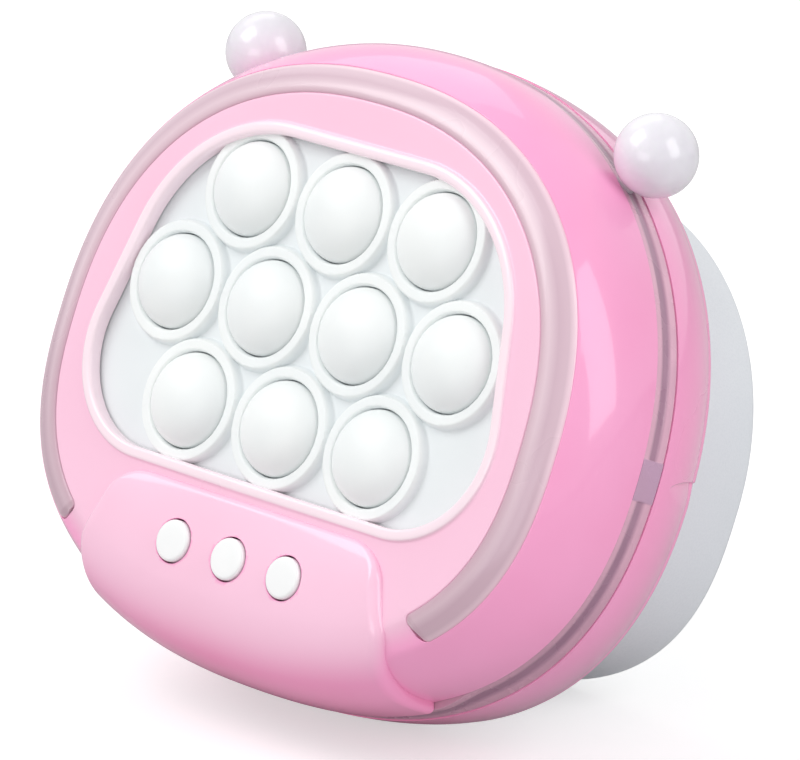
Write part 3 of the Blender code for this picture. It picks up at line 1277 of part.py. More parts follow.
def make_door():
    """Battery door: its rounded lower edge turns on two pins, and a screw holds its upper edge."""
    radius = DOOR_THICK / 2.0
    section = [(COVER_Y, DOOR_TOP_Z), (DOOR_INNER_Y, DOOR_TOP_Z)]
    for turn in np.linspace(math.pi, 0.0, DOOR_EDGE_STEPS + 1):
        y = DOOR_AXIS_Y + radius * math.cos(turn)
        section.append((y, DOOR_AXIS_Z - radius * math.sin(turn)))
    at = (0.0, DOOR_AXIS_Y, DOOR_AXIS_Z)
    rings = []
    for x in (-DOOR_HALF_X, DOOR_HALF_X):
        rings.append([(x, y - DOOR_AXIS_Y, z - DOOR_AXIS_Z) for y, z in section])
    door = skin("battery_door", rings, COVER_WHITE)
    door.location = at
    reach = DOOR_HALF_X + DOOR_PIN_LENGTH
    start, end = (-reach, DOOR_AXIS_Y, DOOR_AXIS_Z), (reach, DOOR_AXIS_Y, DOOR_AXIS_Z)
    combine(door, rod("door_pin", DOOR_PIN_RADIUS, start, end, SCREW_STEPS), "UNION")
    front = DOOR_INNER_Y - DOOR_BOSS_DEPTH
    start, end = (0.0, front, DOOR_SCREW_Z), (0.0, DOOR_INNER_Y + DOOR_THICK / 2.0, DOOR_SCREW_Z)
    combine(door, rod("door_boss", DOOR_BOSS_RADIUS, start, end, SCREW_STEPS), "UNION")
    seat = door_screw_seat() - GAP
    start, end = (0.0, seat, DOOR_SCREW_Z), (0.0, COVER_Y + OVERRUN, DOOR_SCREW_Z)
    sink = rod("door_sink", DOOR_HEAD_RADIUS + GAP, start, end, SCREW_STEPS)
    start, end = (0.0, front - OVERRUN, DOOR_SCREW_Z), (0.0, COVER_Y, DOOR_SCREW_Z)
    bore = rod("door_bore", DOOR_SCREW_RADIUS + GAP, start, end, SCREW_STEPS)
    combine(door, sink, "DIFFERENCE")
    combine(door, bore, "DIFFERENCE")
    return door


def door_screw_seat():
    """Depth at which the head of the door's screw sits."""
    return COVER_Y - DOOR_HEAD_SINK - DOOR_HEAD_THICK


def make_door_screw():
    """Captive screw of the battery door."""
    seat = door_screw_seat()
    end = DOOR_INNER_Y - DOOR_BOSS_DEPTH - DOOR_SCREW_LENGTH + OVERRUN * 2.0
    profile = screw_profile(DOOR_SCREW_RADIUS, DOOR_HEAD_RADIUS, DOOR_HEAD_THICK, seat, end)
    return turned("door_screw", profile, SCREW_STEPS, STEEL, (0.0, 0.0, DOOR_SCREW_Z))


def make_batteries():
    """Three slim cells, laid side by side and turned end for end."""
    half = CELL_LENGTH / 2.0
    profile = [
        (0.0, -half),
        (CELL_RADIUS - CELL_SHOULDER, -half),
        (CELL_RADIUS, -half + CELL_SHOULDER),
        (CELL_RADIUS, half - CELL_NUB - CELL_SHOULDER),
        (CELL_RADIUS - CELL_SHOULDER, half - CELL_NUB),
        (CELL_NUB_RADIUS, half - CELL_NUB),
        (CELL_NUB_RADIUS, half),
        (0.0, half),
    ]
    first = None
    for index in range(3):
        at = (0.0, CELL_Y, cell_z(index))
        name = f"battery_{index + 1}"
        if first is None:
            first = turned(name, profile, CELL_STEPS, CELL_JACKET, at)
            cell = first
        else:
            cell = copied(first, name, at)
        quarter = math.pi / 2.0
        cell.rotation_euler = (0.0, 0.0, quarter if index % 2 else -quarter)


def cell_z(index):
    """Height of a cell's axis: the first lies on top."""
    return CELL_MID_Z + CELL_PITCH * (1 - index)


def make_contacts():
    """Sprung plates: two join neighbouring cells, and two lead out."""
    make_contact("contact_right_end", 1.0, (0,))
    make_contact("contact_left_bridge", -1.0, (0, 1))
    make_contact("contact_right_bridge", 1.0, (1, 2))
    make_contact("contact_left_end", -1.0, (2,))


def make_contact(name, side, cells):
    """Plate on the tray's end wall, with a bump for each cell that it touches."""
    outer = side * (TRAY_HALF_X - GAP)
    face = side * (TRAY_HALF_X - GAP - CONTACT_THICK)
    levels = [cell_z(index) for index in cells]
    low = (min(outer, face), CELL_Y - CONTACT_HALF, min(levels) - CONTACT_HALF)
    high = (max(outer, face), CELL_Y + CONTACT_HALF, max(levels) + CONTACT_HALF)
    plate = block(name, low, high, BRASS)
    for index, z in zip(cells, levels):
        wide, narrow = CONTACT_BUMP_RADII
        root = side * (TRAY_HALF_X - GAP - CONTACT_THICK / 2.0)
        tip = face - side * CONTACT_BUMP
        turn = np.linspace(0.0, 2.0 * math.pi, GRILLE_STEPS, endpoint=False)
        rings = []
        for x, radius in ((root, wide), (tip, narrow)):
            y_points = CELL_Y + radius * np.cos(turn)
            z_points = z + radius * np.sin(turn)
            rings.append(np.stack([np.full(GRILLE_STEPS, x), y_points, z_points], 1).tolist())
        combine(plate, skin(f"{name}_bump_{index}", rings, None), "UNION")


def make_speaker():
    """Round speaker that faces the grille."""
    back = COVER_INNER_Y - GAP
    profile = [
        (0.0, back),
        (SPEAKER_RADIUS, back),
        (SPEAKER_RADIUS, back - SPEAKER_RIM),
        (SPEAKER_MAGNET_RADIUS, back - SPEAKER_RIM * 2.0),
        (SPEAKER_MAGNET_RADIUS, back - SPEAKER_DEPTH),
        (0.0, back - SPEAKER_DEPTH),
    ]
    return turned("speaker", profile, EAR_STEPS, STEEL_DARK, (0.0, 0.0, SPEAKER_Z))


def set_down():
    """Stand the leaning game on the floor, with its box centred over the origin."""
    graph = bpy.context.evaluated_depsgraph_get()
    corners = []
    for item in bpy.data.objects:
        if item.type == "MESH" and not item.hide_render:
            solid = item.evaluated_get(graph)
            mesh = solid.to_mesh()
            points = np.empty(len(mesh.vertices) * 3)
            mesh.vertices.foreach_get("co", points)
            matrix = np.array(solid.matrix_world)
            points = points.reshape(-1, 3) @ matrix[:3, :3].T + matrix[:3, 3]
            corners += [points.min(axis=0), points.max(axis=0)]
            solid.to_mesh_clear()
    low, high = np.min(corners, axis=0), np.max(corners, axis=0)
    middle = (low + high) / 2.0
    stand.location = (-middle[0], -middle[1], -low[2])


clear_scene()

PINK = finish("pink_gloss", (0.93, 0.38, 0.58), 0.22)
SILICONE = finish("white_silicone", (0.86, 0.88, 0.88), 0.45)
WHITE = finish("white_plastic", (0.92, 0.92, 0.92), 0.3)
COVER_WHITE = finish("cover_white", (0.68, 0.70, 0.73), 0.35)
MILKY = finish("milky_lamp", (0.85, 0.84, 0.87), 0.25)
MILKY_SMOKE = finish("strip_lamp", (0.62, 0.46, 0.53), 0.3)
SMOKE = finish("seam_lamp", (0.42, 0.26, 0.34), 0.3)
CLEAR = finish("led_clear", (0.9, 0.9, 0.88), 0.1)
BOARD_GREEN = finish("board_green", (0.05, 0.25, 0.12), 0.5)
STEEL = finish("screw_steel", (0.55, 0.55, 0.56), 0.35, 1.0)
STEEL_DARK = finish("speaker_steel", (0.12, 0.12, 0.13), 0.45, 0.6)
BRASS = finish("contact_plate", (0.6, 0.58, 0.52), 0.3, 1.0)
CELL_JACKET = finish("cell_jacket", (0.12, 0.16, 0.2), 0.35)

stand = bpy.data.objects.new("stand", None)
stand.rotation_euler = (-LEAN, 0.0, 0.0)
bpy.context.collection.objects.link(stand)

make_front_shell()
make_rear_shell()
make_seam_ring()
make_ear(-1.0, "ear_lamp_left", "ear_led_left")
make_ear(1.0, "ear_lamp_right", "ear_led_right")
make_light_strip()
make_lamp_board(-1.0, "lamp_board_left")
make_lamp_board(1.0, "lamp_board_right")
make_pad()
make_bubbles()
make_deck()
make_main_board()
make_buttons()
make_button_board()
make_screws()
make_rear_cover()
make_door()
make_door_screw()
make_batteries()
make_contacts()
make_speaker()
set_down()
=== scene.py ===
# %% [markdown]
# # A bubble pop game on a white table
#
# The object is a small electronic game: two glossy pink shells, a window with ten soft
# bubbles, three push buttons, a milky light strip, two round lamps like ears, and a white
# rear cover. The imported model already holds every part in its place. This lesson gives those
# parts their fine surfaces and finishes, one step at a time, in the same frame.

import json
import math

import bpy
import numpy as np
from mathutils import Matrix


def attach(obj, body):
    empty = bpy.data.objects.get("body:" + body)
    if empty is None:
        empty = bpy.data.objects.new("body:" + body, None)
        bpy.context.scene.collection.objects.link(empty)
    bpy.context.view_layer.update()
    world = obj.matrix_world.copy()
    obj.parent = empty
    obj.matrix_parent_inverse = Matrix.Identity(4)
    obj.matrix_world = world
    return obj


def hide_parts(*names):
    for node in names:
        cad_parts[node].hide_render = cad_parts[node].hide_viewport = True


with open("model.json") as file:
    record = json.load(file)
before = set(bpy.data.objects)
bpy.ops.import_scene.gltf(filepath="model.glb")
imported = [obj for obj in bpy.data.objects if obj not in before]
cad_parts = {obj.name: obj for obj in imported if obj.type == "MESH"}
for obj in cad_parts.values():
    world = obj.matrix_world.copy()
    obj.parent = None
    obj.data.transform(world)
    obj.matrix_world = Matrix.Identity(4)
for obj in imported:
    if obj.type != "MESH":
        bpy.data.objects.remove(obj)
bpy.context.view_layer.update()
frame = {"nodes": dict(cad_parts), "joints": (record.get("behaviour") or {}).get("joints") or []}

# %% [markdown]
# ## The game's own frame
#
# The game leans back, but it is easiest to draw upright: X to the right, Y from the face to
# the back, Z up along the face, in millimetres. The bubbles press straight back, so their
# joint gives the Y axis, and the battery door's hinge gives a known point. Adding those axes
# up is simpler than turning every finished piece, and it keeps each object at the origin.

# %% The game's own frame
MM = 0.001
JOINTS = {joint["name"]: joint for joint in frame["joints"]}
RIGHT = np.array((1.0, 0.0, 0.0))
BACK = np.array(JOINTS["bubble_01_press"]["axis"])
BACK = BACK / np.linalg.norm(BACK)
UP = np.cross(RIGHT, BACK)
HINGE_DEPTH, HINGE_HEIGHT = 64.0, -39.2
ORIGIN = np.array(JOINTS["door_hinge"]["pos_m"]) - (HINGE_DEPTH * BACK + HINGE_HEIGHT * UP) * MM


def placed(points):
    """World place of points (x, y, z) in millimetres: origin + x * right + y * back + z * up."""
    return ORIGIN + (points * MM) @ np.stack([RIGHT, BACK, UP])


print("lean:", round(math.degrees(math.asin(-BACK[2])), 2), "degrees")

# %% [markdown]
# ## Outlines
#
# Seen from the front, every edge of the shells is a superellipse, a shape between an ellipse
# and a rectangle, with one power for its upper half and another for its lower half. The window
# is a trapezoid with large rounded corners. All of them are read along rays from one middle
# point, so that any two outlines can be joined ray by ray.

# %% Outlines
MID_Z, RAY_Z = -10.0, -8.0
SHELL_POWERS, FACE_POWERS, COVER_POWERS = (2.08, 2.35), (2.28, 2.5), (2.03, 2.75)
SEAM = (61.8, 48.8, -58.8, SHELL_POWERS)
REAR_SEAM = (61.8, 48.8, -60.6, SHELL_POWERS)
REAR_EDGE = (56.8, 46.9, -59.3, SHELL_POWERS)
CHANNEL_IN = (51.0, 37.0, -49.6, FACE_POWERS)
CHANNEL_OUT = (56.6, 42.2, -53.6, FACE_POWERS)
COVER = (45.4, 36.9, -47.1, COVER_POWERS)
FACE_Y, CHANNEL_OUT_Y, SEAM_Y, SEAM_REAR_Y, REAR_Y, COVER_Y = -1.85, 0.4, 15.6, 21.0, 37.0, 65.0
WALL = 2.0
WINDOW_TOP, WINDOW_BOTTOM = (37.5, 29.85), (50.85, -29.9)  # half width and height of each side
WINDOW_RADII = (28.0, 28.0, 18.2, 18.2)
ARC_POINTS, LINE_STEP = 40, 0.12


def superellipse(sizes, inset=0.0, count=2880):
    """Outline |x / w| ^ p + |z / h| ^ p = 1 about the middle height, drawn in by an inset."""
    half_width, top, bottom, powers = sizes
    turn = np.linspace(0.0, 2.0 * math.pi, count, endpoint=False)
    upper = np.sin(turn) >= 0.0
    share = 2.0 / np.where(upper, powers[0], powers[1])
    height = np.where(upper, top - inset - MID_Z, MID_Z - bottom - inset)
    x = (half_width - inset) * np.sign(np.cos(turn)) * np.abs(np.cos(turn)) ** share
    return x, MID_Z + height * np.sign(np.sin(turn)) * np.abs(np.sin(turn)) ** share


def rounded_corners(corners, radii):
    """Straight runs joined by arcs that touch both runs at each corner, densely sampled."""
    arcs = []
    for index, corner in enumerate(corners):
        here = np.array(corner, float)
        back = np.array(corners[index - 1]) - here
        ahead = np.array(corners[(index + 1) % len(corners)]) - here
        back, ahead = back / np.linalg.norm(back), ahead / np.linalg.norm(ahead)
        half = math.acos(float(back @ ahead)) / 2.0
        inward = (back + ahead) / np.linalg.norm(back + ahead)
        middle = here + inward * radii[index] / math.sin(half)
        start = here + back * radii[index] / math.tan(half) - middle
        end = here + ahead * radii[index] / math.tan(half) - middle
        begin = math.atan2(start[1], start[0])
        sweep = (math.atan2(end[1], end[0]) - begin + math.pi) % (2.0 * math.pi) - math.pi
        turn = np.linspace(begin, begin + sweep, ARC_POINTS)
        arcs.append(middle + radii[index] * np.stack([np.cos(turn), np.sin(turn)], 1))
    points = np.concatenate(arcs + [arcs[0][:1]])
    gaps = np.linalg.norm(np.diff(points, axis=0), axis=1)
    length = np.concatenate([[0.0], np.cumsum(gaps)])
    spots = np.arange(0.0, length[-1], LINE_STEP)
    return np.stack([np.interp(spots, length, points[:, way]) for way in (0, 1)])


def window(grow):
    """The window's outline moved outward by a distance: a trapezoid with rounded corners."""
    (top_half, top), (bottom_half, bottom) = WINDOW_TOP, WINDOW_BOTTOM
    slope = (bottom_half - top_half) / (top - bottom)
    side = grow * math.hypot(1.0, slope)
    top_x, bottom_x = top_half - slope * grow + side, bottom_half + slope * grow + side
    top_z, bottom_z = top + grow, bottom - grow
    corners = [(top_x, top_z), (-top_x, top_z), (-bottom_x, bottom_z), (bottom_x, bottom_z)]
    return rounded_corners(corners, [radius + grow for radius in WINDOW_RADII])


def reach(outline, turns):
    """Distance from the middle point to an outline along each ray."""
    x, z = outline
    order = np.argsort(np.arctan2(z - RAY_Z, x))
    angle = np.arctan2(z - RAY_Z, x)[order]
    return np.interp(turns, angle, np.hypot(x, z - RAY_Z)[order], period=2.0 * math.pi)


print("window half width at the bottom:", round(float(window(0.0)[0].max()), 1), "mm")

# %% [markdown]
# ## From points to a mesh
#
# A shape here is a function of two parameters, sampled on a grid of rows and columns. The
# grid could be drawn with bmesh, one face at a time, but whole arrays handed to the mesh at
# once are far quicker. Open ends of a tube are closed with one flat face each.

# %% Grid to mesh
def point_numbers(rows, columns):
    """The numbers of a grid's points, row by row."""
    return np.arange(rows * columns).reshape(rows, columns)


def quads_of(index):
    """The four corners of every cell of a grid of point numbers, in order round the cell."""
    quads = np.stack([index[:-1, :-1], index[:-1, 1:], index[1:, 1:], index[1:, :-1]], 2)
    return quads.reshape(-1, 4)


def border_of(index):
    """The point numbers once round a grid's border."""
    return np.concatenate([index[0, :-1], index[:-1, -1], index[-1, :0:-1], index[:0:-1, 0]])


def surface(name, grid, wrap_rows=False, ends=False, sharp=50.0):
    """Quads of a grid whose columns run round; its rows join up too, or its ends are closed."""
    index = point_numbers(*grid.shape[:2])
    joined = np.concatenate([index, index[:1]]) if wrap_rows else index
    loops = [quads_of(np.concatenate([joined, joined[:, :1]], axis=1))]
    if ends:
        loops += [index[:1, ::-1], index[-1:]]
    return solid(name, placed(grid.reshape(-1, 3)), loops, sharp)


LEAST_RADIUS = 0.01  # a turned profile keeps this tiny hole, so that its end is a flat face


def solid(name, points, loops, sharp=50.0):
    """Object from points and face arrays, with its faces turned outward by its volume's sign."""
    corners = np.concatenate([faces.ravel() for faces in loops])
    sizes = np.concatenate([np.full(len(faces), faces.shape[1]) for faces in loops])
    mesh = bpy.data.meshes.new(name)
    mesh.vertices.add(len(points))
    mesh.vertices.foreach_set("co", points.ravel())
    mesh.loops.add(len(corners))
    mesh.loops.foreach_set("vertex_index", corners)
    mesh.polygons.add(len(sizes))
    mesh.polygons.foreach_set("loop_start", np.concatenate([[0], np.cumsum(sizes)[:-1]]))
    mesh.update(calc_edges=True)
    middle = points.mean(axis=0)
    volume = 0.0
    for faces in loops:
        ring = points[faces] - middle
        for step in range(1, faces.shape[1] - 1):
            volume += np.einsum("ij,ij->", ring[:, 0], np.cross(ring[:, step], ring[:, step + 1]))
    if volume < 0.0:
        mesh.flip_normals()
    mesh.validate()
    mesh.shade_smooth()
    mesh.set_sharp_from_angle(angle=math.radians(sharp))
    item = bpy.data.objects.new(name, mesh)
    bpy.context.scene.collection.objects.link(item)
    return item


# %% Softened sections and turned profiles
def rounded_section(corners, steps=6):
    """Corner P becomes the parabola (1-t)^2 A + 2t(1-t) P + t^2 B, with A and B on its sides.

    Each corner comes with its size, the distance of A and B from P.
    """
    chain = np.array([corner for corner, _ in corners])
    back = np.roll(chain, 1, axis=0) - chain
    ahead = np.roll(chain, -1, axis=0) - chain
    rows = []
    for place, (here, size) in enumerate(corners):
        if np.max(size) <= 0.0:
            rows.append(here)
            continue
        ends = []
        for way in (back[place], ahead[place]):
            length = np.maximum(np.linalg.norm(way, axis=1), 1e-6)
            ends.append(here + way * (np.minimum(size, length * 0.48) / length)[:, None])
        for t in np.linspace(0.0, 1.0, steps):
            rows.append((1 - t) ** 2 * ends[0] + 2 * t * (1 - t) * here + t ** 2 * ends[1])
    return np.array(rows)


def spun_out(section, turns):
    """Grid of points from a section of (distance along the ray, depth) for each ray."""
    radius, depth = section[..., 0], section[..., 1]
    return np.stack([radius * np.cos(turns), depth, RAY_Z + radius * np.sin(turns)], 2)


def spun(profile, at, columns):
    """Grid of a profile of (radius, depth) turned about an axis through (x, z)."""
    profile = np.array(profile)
    turn = np.linspace(0.0, 2.0 * math.pi, columns, endpoint=False)
    radius = np.maximum(profile[:, :1], LEAST_RADIUS)
    depth = np.repeat(profile[:, 1:], columns, axis=1)
    return np.stack([at[0] + radius * np.cos(turn), depth, at[1] + radius * np.sin(turn)], 2)


def spun_across(profile, at, columns):
    """The same for a profile of (radius, x), about an axis across the game through (y, z)."""
    return spun(profile, at, columns)[..., [1, 0, 2]]


def turned(name, profile, at, columns=64):
    """A closed piece turned about an axis from front to back."""
    return surface(name, spun(profile, at, columns), ends=True)


# %% Cuts and joins
def smoothstep(value, low, high):
    """3t^2 - 2t^3 of the share t of the way from low to high."""
    share = np.clip((value - low) / (high - low), 0.0, 1.0)
    return share * share * (3.0 - 2.0 * share)


def cut(item, cutters, operation="DIFFERENCE", sharp=50.0):
    """Cut or join with other closed meshes by an exact Boolean, and keep the result's mesh."""
    for cutter in cutters:
        modifier = item.modifiers.new("cut", "BOOLEAN")
        modifier.operation = operation
        modifier.solver = "EXACT"
        modifier.object = cutter
    graph = bpy.context.evaluated_depsgraph_get()
    mesh = bpy.data.meshes.new_from_object(item.evaluated_get(graph))
    mesh.set_sharp_from_angle(angle=math.radians(sharp))
    item.modifiers.clear()
    item.data = mesh
    for cutter in cutters:
        bpy.data.objects.remove(cutter, do_unlink=True)
    return item


def rod(radius, at, front, back, columns=64):
    """Round cutter from front to back through (x, z)."""
    return turned("cutter", [(radius, front), (radius, back)], at, columns)


def bar_across(radius, half, at, columns):
    """Round cutter that lies across the game, as far to the left as to the right."""
    grid = spun_across([(radius, -half), (radius, half)], at, columns)
    return surface("cutter", grid, ends=True)


def triangles(item):
    """Number of triangles in a mesh."""
    return sum(len(face.vertices) - 2 for face in item.data.polygons)


# %% [markdown]
# ## Finishes as expressions
#
# A finish is a small graph of nodes. Written out link by link it is long and hard to read, so
# one class wraps an output socket: adding or multiplying two of them adds the Math node, and
# a single method adds any other node.

# %% Sockets that can be added and multiplied
class Wire:
    """An output in a finish's graph. Operators add Math nodes; add() adds any other node."""

    def __init__(self, tree, output=None):
        self.tree, self.output = tree, output

    def add(self, kind, inputs=None, out=0, stops=None, **settings):
        """Add a node: its settings first, then its sockets' values or links."""
        node = self.tree.nodes.new("ShaderNode" + kind)
        for name, value in settings.items():
            setattr(node, name, value)
        if stops:
            ramp = node.color_ramp.elements
            while len(ramp) < len(stops):
                ramp.new(0.5)
            for element, (position, colour) in zip(ramp, stops):
                element.position, element.color = position, colour
        for name, value in (inputs or {}).items():
            if isinstance(value, Wire):
                self.tree.links.new(value.output, node.inputs[name])
            else:
                node.inputs[name].default_value = value
        return Wire(self.tree, node.outputs[out])

    def math(self, operation, first, second=0.0):
        """A Math node on one or two numbers."""
        return self.add("Math", {0: first, 1: second}, operation=operation)

    def __add__(self, other):
        return self.math("ADD", self, other)

    __radd__ = __add__

    def __sub__(self, other):
        return self.math("SUBTRACT", self, other)

    def __rsub__(self, other):
        return self.math("SUBTRACT", other, self)

    def __mul__(self, other):
        return self.math("MULTIPLY", self, other)

    __rmul__ = __mul__

    def between(self, low, high):
        """Smooth step from 0 at low to 1 at high."""
        settings = {"interpolation_type": "SMOOTHSTEP"}
        return self.add("MapRange", {0: self, 1: low, 2: high, 3: 0.0, 4: 1.0}, **settings)

    def mix(self, first, second):
        """Blend two colours by this factor."""
        return self.add("Mix", {0: self, 6: first, 7: second}, out=2, data_type="RGBA")

    def noise(self, scale, detail=2.0, roughness=0.5):
        """Cloudy noise at a scale in cells per metre, read at this place."""
        sizes = {"Vector": self, "Scale": scale, "Detail": detail, "Roughness": roughness}
        return self.add("TexNoise", sizes)

    def along(self, axis):
        """Distance in millimetres along one of the game's own axes, from its origin."""
        scaled = self.add(
            "VectorMath", {0: self, 1: tuple(axis / MM)}, out=1, operation="DOT_PRODUCT"
        )
        return scaled - float(axis @ ORIGIN) / MM


def finish(name, recipe):
    """A material whose recipe takes the graph and the surface's place, and returns sockets."""
    material = bpy.data.materials.new(name)
    material.use_nodes = True
    tree = material.node_tree
    shader = tree.nodes["Principled BSDF"]
    graph = Wire(tree)
    place = graph.add("TexCoord", out=3)
    for socket, value in recipe(graph, place).items():
        if isinstance(value, Wire):
            tree.links.new(value.output, shader.inputs[socket])
        else:
            shader.inputs[socket].default_value = value
    print(f"{name}: {len(tree.nodes)} nodes")
    return material


def colour(red, green, blue):
    """Linear colour, with full alpha, of a colour as the eye reads it from 0 to 255."""
    share = np.array((red, green, blue)) / 255.0
    linear = np.where(share <= 0.04045, share / 12.92, ((share + 0.055) / 1.055) ** 2.4)
    return (*linear.tolist(), 1.0)


def bump(height, strength, deep=0.00002):
    """Tilt the surface by a height that spans this many metres at full strength."""
    return height.add("Bump", {"Strength": strength, "Distance": deep, "Height": height})


def grain(place, scale, strength):
    """Bump of a moulded skin: noise in cells per metre, a few micrometres deep."""
    return bump(place.noise(scale, 2.0, 0.6), strength)


def clouded(name, noise, span, tones, rough, skin, constants=None):
    """Two tones mixed by noise between two levels; roughness = a * noise + b; and a grain."""

    def recipe(graph, place):
        cloud = place.noise(*noise).between(*span)
        return {
            "Base Color": cloud.mix(colour(*tones[0]), colour(*tones[1])),
            "Roughness": cloud * rough[0] + rough[1],
            "Normal": grain(place, *skin),
            **(constants or {}),
        }

    return finish(name, recipe)


def attribute(graph, name):
    """A number stored on the mesh's points."""
    return graph.add("Attribute", out=2, attribute_name=name)


def store(item, name, values):
    """Keep one number for each point of the mesh under a name."""
    layer = item.data.attributes.new(name, "FLOAT", "POINT")
    layer.data.foreach_set("value", np.ascontiguousarray(values, dtype=np.float32).ravel())


def dress(item, body, slot, material, *nodes):
    """Give a piece its finish, let it ride a body, and hide the imported parts it stands for."""
    item.data.materials.clear()
    item.data.materials.append(material)
    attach(item, body)
    if nodes:
        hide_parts(*nodes)
    print(f"{item.name}: {triangles(item)} triangles")


# %% [markdown]
# ## Pink moulded plastic
#
# Both shells are injection moulded in one pink plastic with a high gloss. The mould leaves a
# very faint orange-peel ripple, seen only where a highlight crosses it, and a slightly cloudy
# colour. The slim rolled lip round the window lets light through and looks almost white, and
# part of that paleness is a painted highlight. So the shell's points carry a number that says
# where the wall is slim or lit. Painting the lip by its height would be simpler, but the number
# also reaches the flat face, where it is a painted highlight that fades out. Towards the foot
# the pink is darker: painted shade.

# %% Pink finish
PINK_DEEP, PINK_PALE = colour(252, 160, 205), colour(254, 171, 214)
PINK_PAINTED_SHADE = colour(250, 140, 186)
PALE_LIP_AND_HIGHLIGHT = colour(254, 232, 241)


def pink_recipe(graph, place):
    """Pink in slow clouds with a faint ripple, deeper at its foot as painted shade, and paler
    at the slim lip and where a highlight is painted on the lip and the face.
    """
    clouds = place.noise(28.0, 3.0).between(0.3, 0.7)
    # Painted shade: the pink turns deeper towards the bottom of the shells.
    foot = 1.0 - place.along(UP).between(-64.0, -46.0)
    body = (clouds * 0.8).mix(PINK_DEEP, PINK_PALE)
    body = (foot * 0.6).mix(body, PINK_PAINTED_SHADE)
    return {
        # The stored number pales the slim lip, partly as a painted highlight, and the flat face as
        # a painted highlight.
        "Base Color": attribute(graph, "thin_and_painted_light").mix(body, PALE_LIP_AND_HIGHLIGHT),
        "Roughness": clouds * 0.05 + 0.27,
        "IOR": 1.5,
        "Specular IOR Level": 0.25,
        "Coat Weight": 0.7,
        "Coat Roughness": 0.07,
        "Normal": bump(place.noise(300.0, 2.0), 0.08),
    }


PINK = finish("pink_gloss_plastic", pink_recipe)

# %% [markdown]
# ## Front shell
#
# The front shell is a lofted ring: from the window's wall over the rolled lip, across the flat
# face, down into the light channel and out again, then round the curved side to the seam and
# back along the inside. Polygon modelling would need many loop cuts for the channel's rounded
# edges. Here each ray has the same chain of corner points, every corner is softened with a
# parabola, and the channel closes at its two ends because its walls draw together there.

# %% Columns of the front shell
CHANNEL_END, CHANNEL_REACH = math.radians(40.9), 56.0
CHANNEL_CORNER, CHANNEL_DEEP, CHANNEL_DRAFT = 1.5, 3.0, 0.25
LIP_Y, INSIDE_Y = -2.45, 0.15
SIDE_POWER = 2.6


def ring_turns(count, extra=()):
    """Even rays round the ring, with close rays added about chosen turns."""
    turns = [np.linspace(0.0, 2.0 * math.pi, count, endpoint=False)]
    for middle, spread, number in extra:
        turns.append(middle + np.linspace(-spread, spread, number) * 0.9999)
    return np.unique(np.mod(np.concatenate(turns), 2.0 * math.pi).round(9))


def run_from_end(turns, end_turn):
    """Distance in millimetres along the channel from its nearer end; negative past the end."""
    lift = np.abs(np.mod(turns + math.pi / 2.0, 2.0 * math.pi) - math.pi)
    return (math.pi / 2.0 + end_turn - lift) * CHANNEL_REACH


def corner_draw(run, radius):
    """How far a wall is drawn in near a rounded end: r - sqrt(r^2 - (r - s)^2)."""
    left = np.clip(radius - run, 0.0, radius)
    return radius - np.sqrt(np.maximum(radius ** 2 - left ** 2, 0.0))


def side_curve(share, inset, turns):
    """Ray distance and depth of the side: it spreads by 1 - (1 - s) ^ p of the way to the seam."""
    out = 1.0 - (1.0 - share) ** SIDE_POWER
    start = reach(superellipse(CHANNEL_OUT, inset), turns)
    end = reach(superellipse(SEAM, inset), turns)
    depth = CHANNEL_OUT_Y + (SEAM_Y - CHANNEL_OUT_Y) * share
    return np.stack([start + (end - start) * out, np.broadcast_to(depth, turns.shape)], 1)


def level(distance, depth):
    """One corner of the section for every ray."""
    return np.stack(np.broadcast_arrays(np.asarray(distance, float), np.asarray(depth, float)), 1)


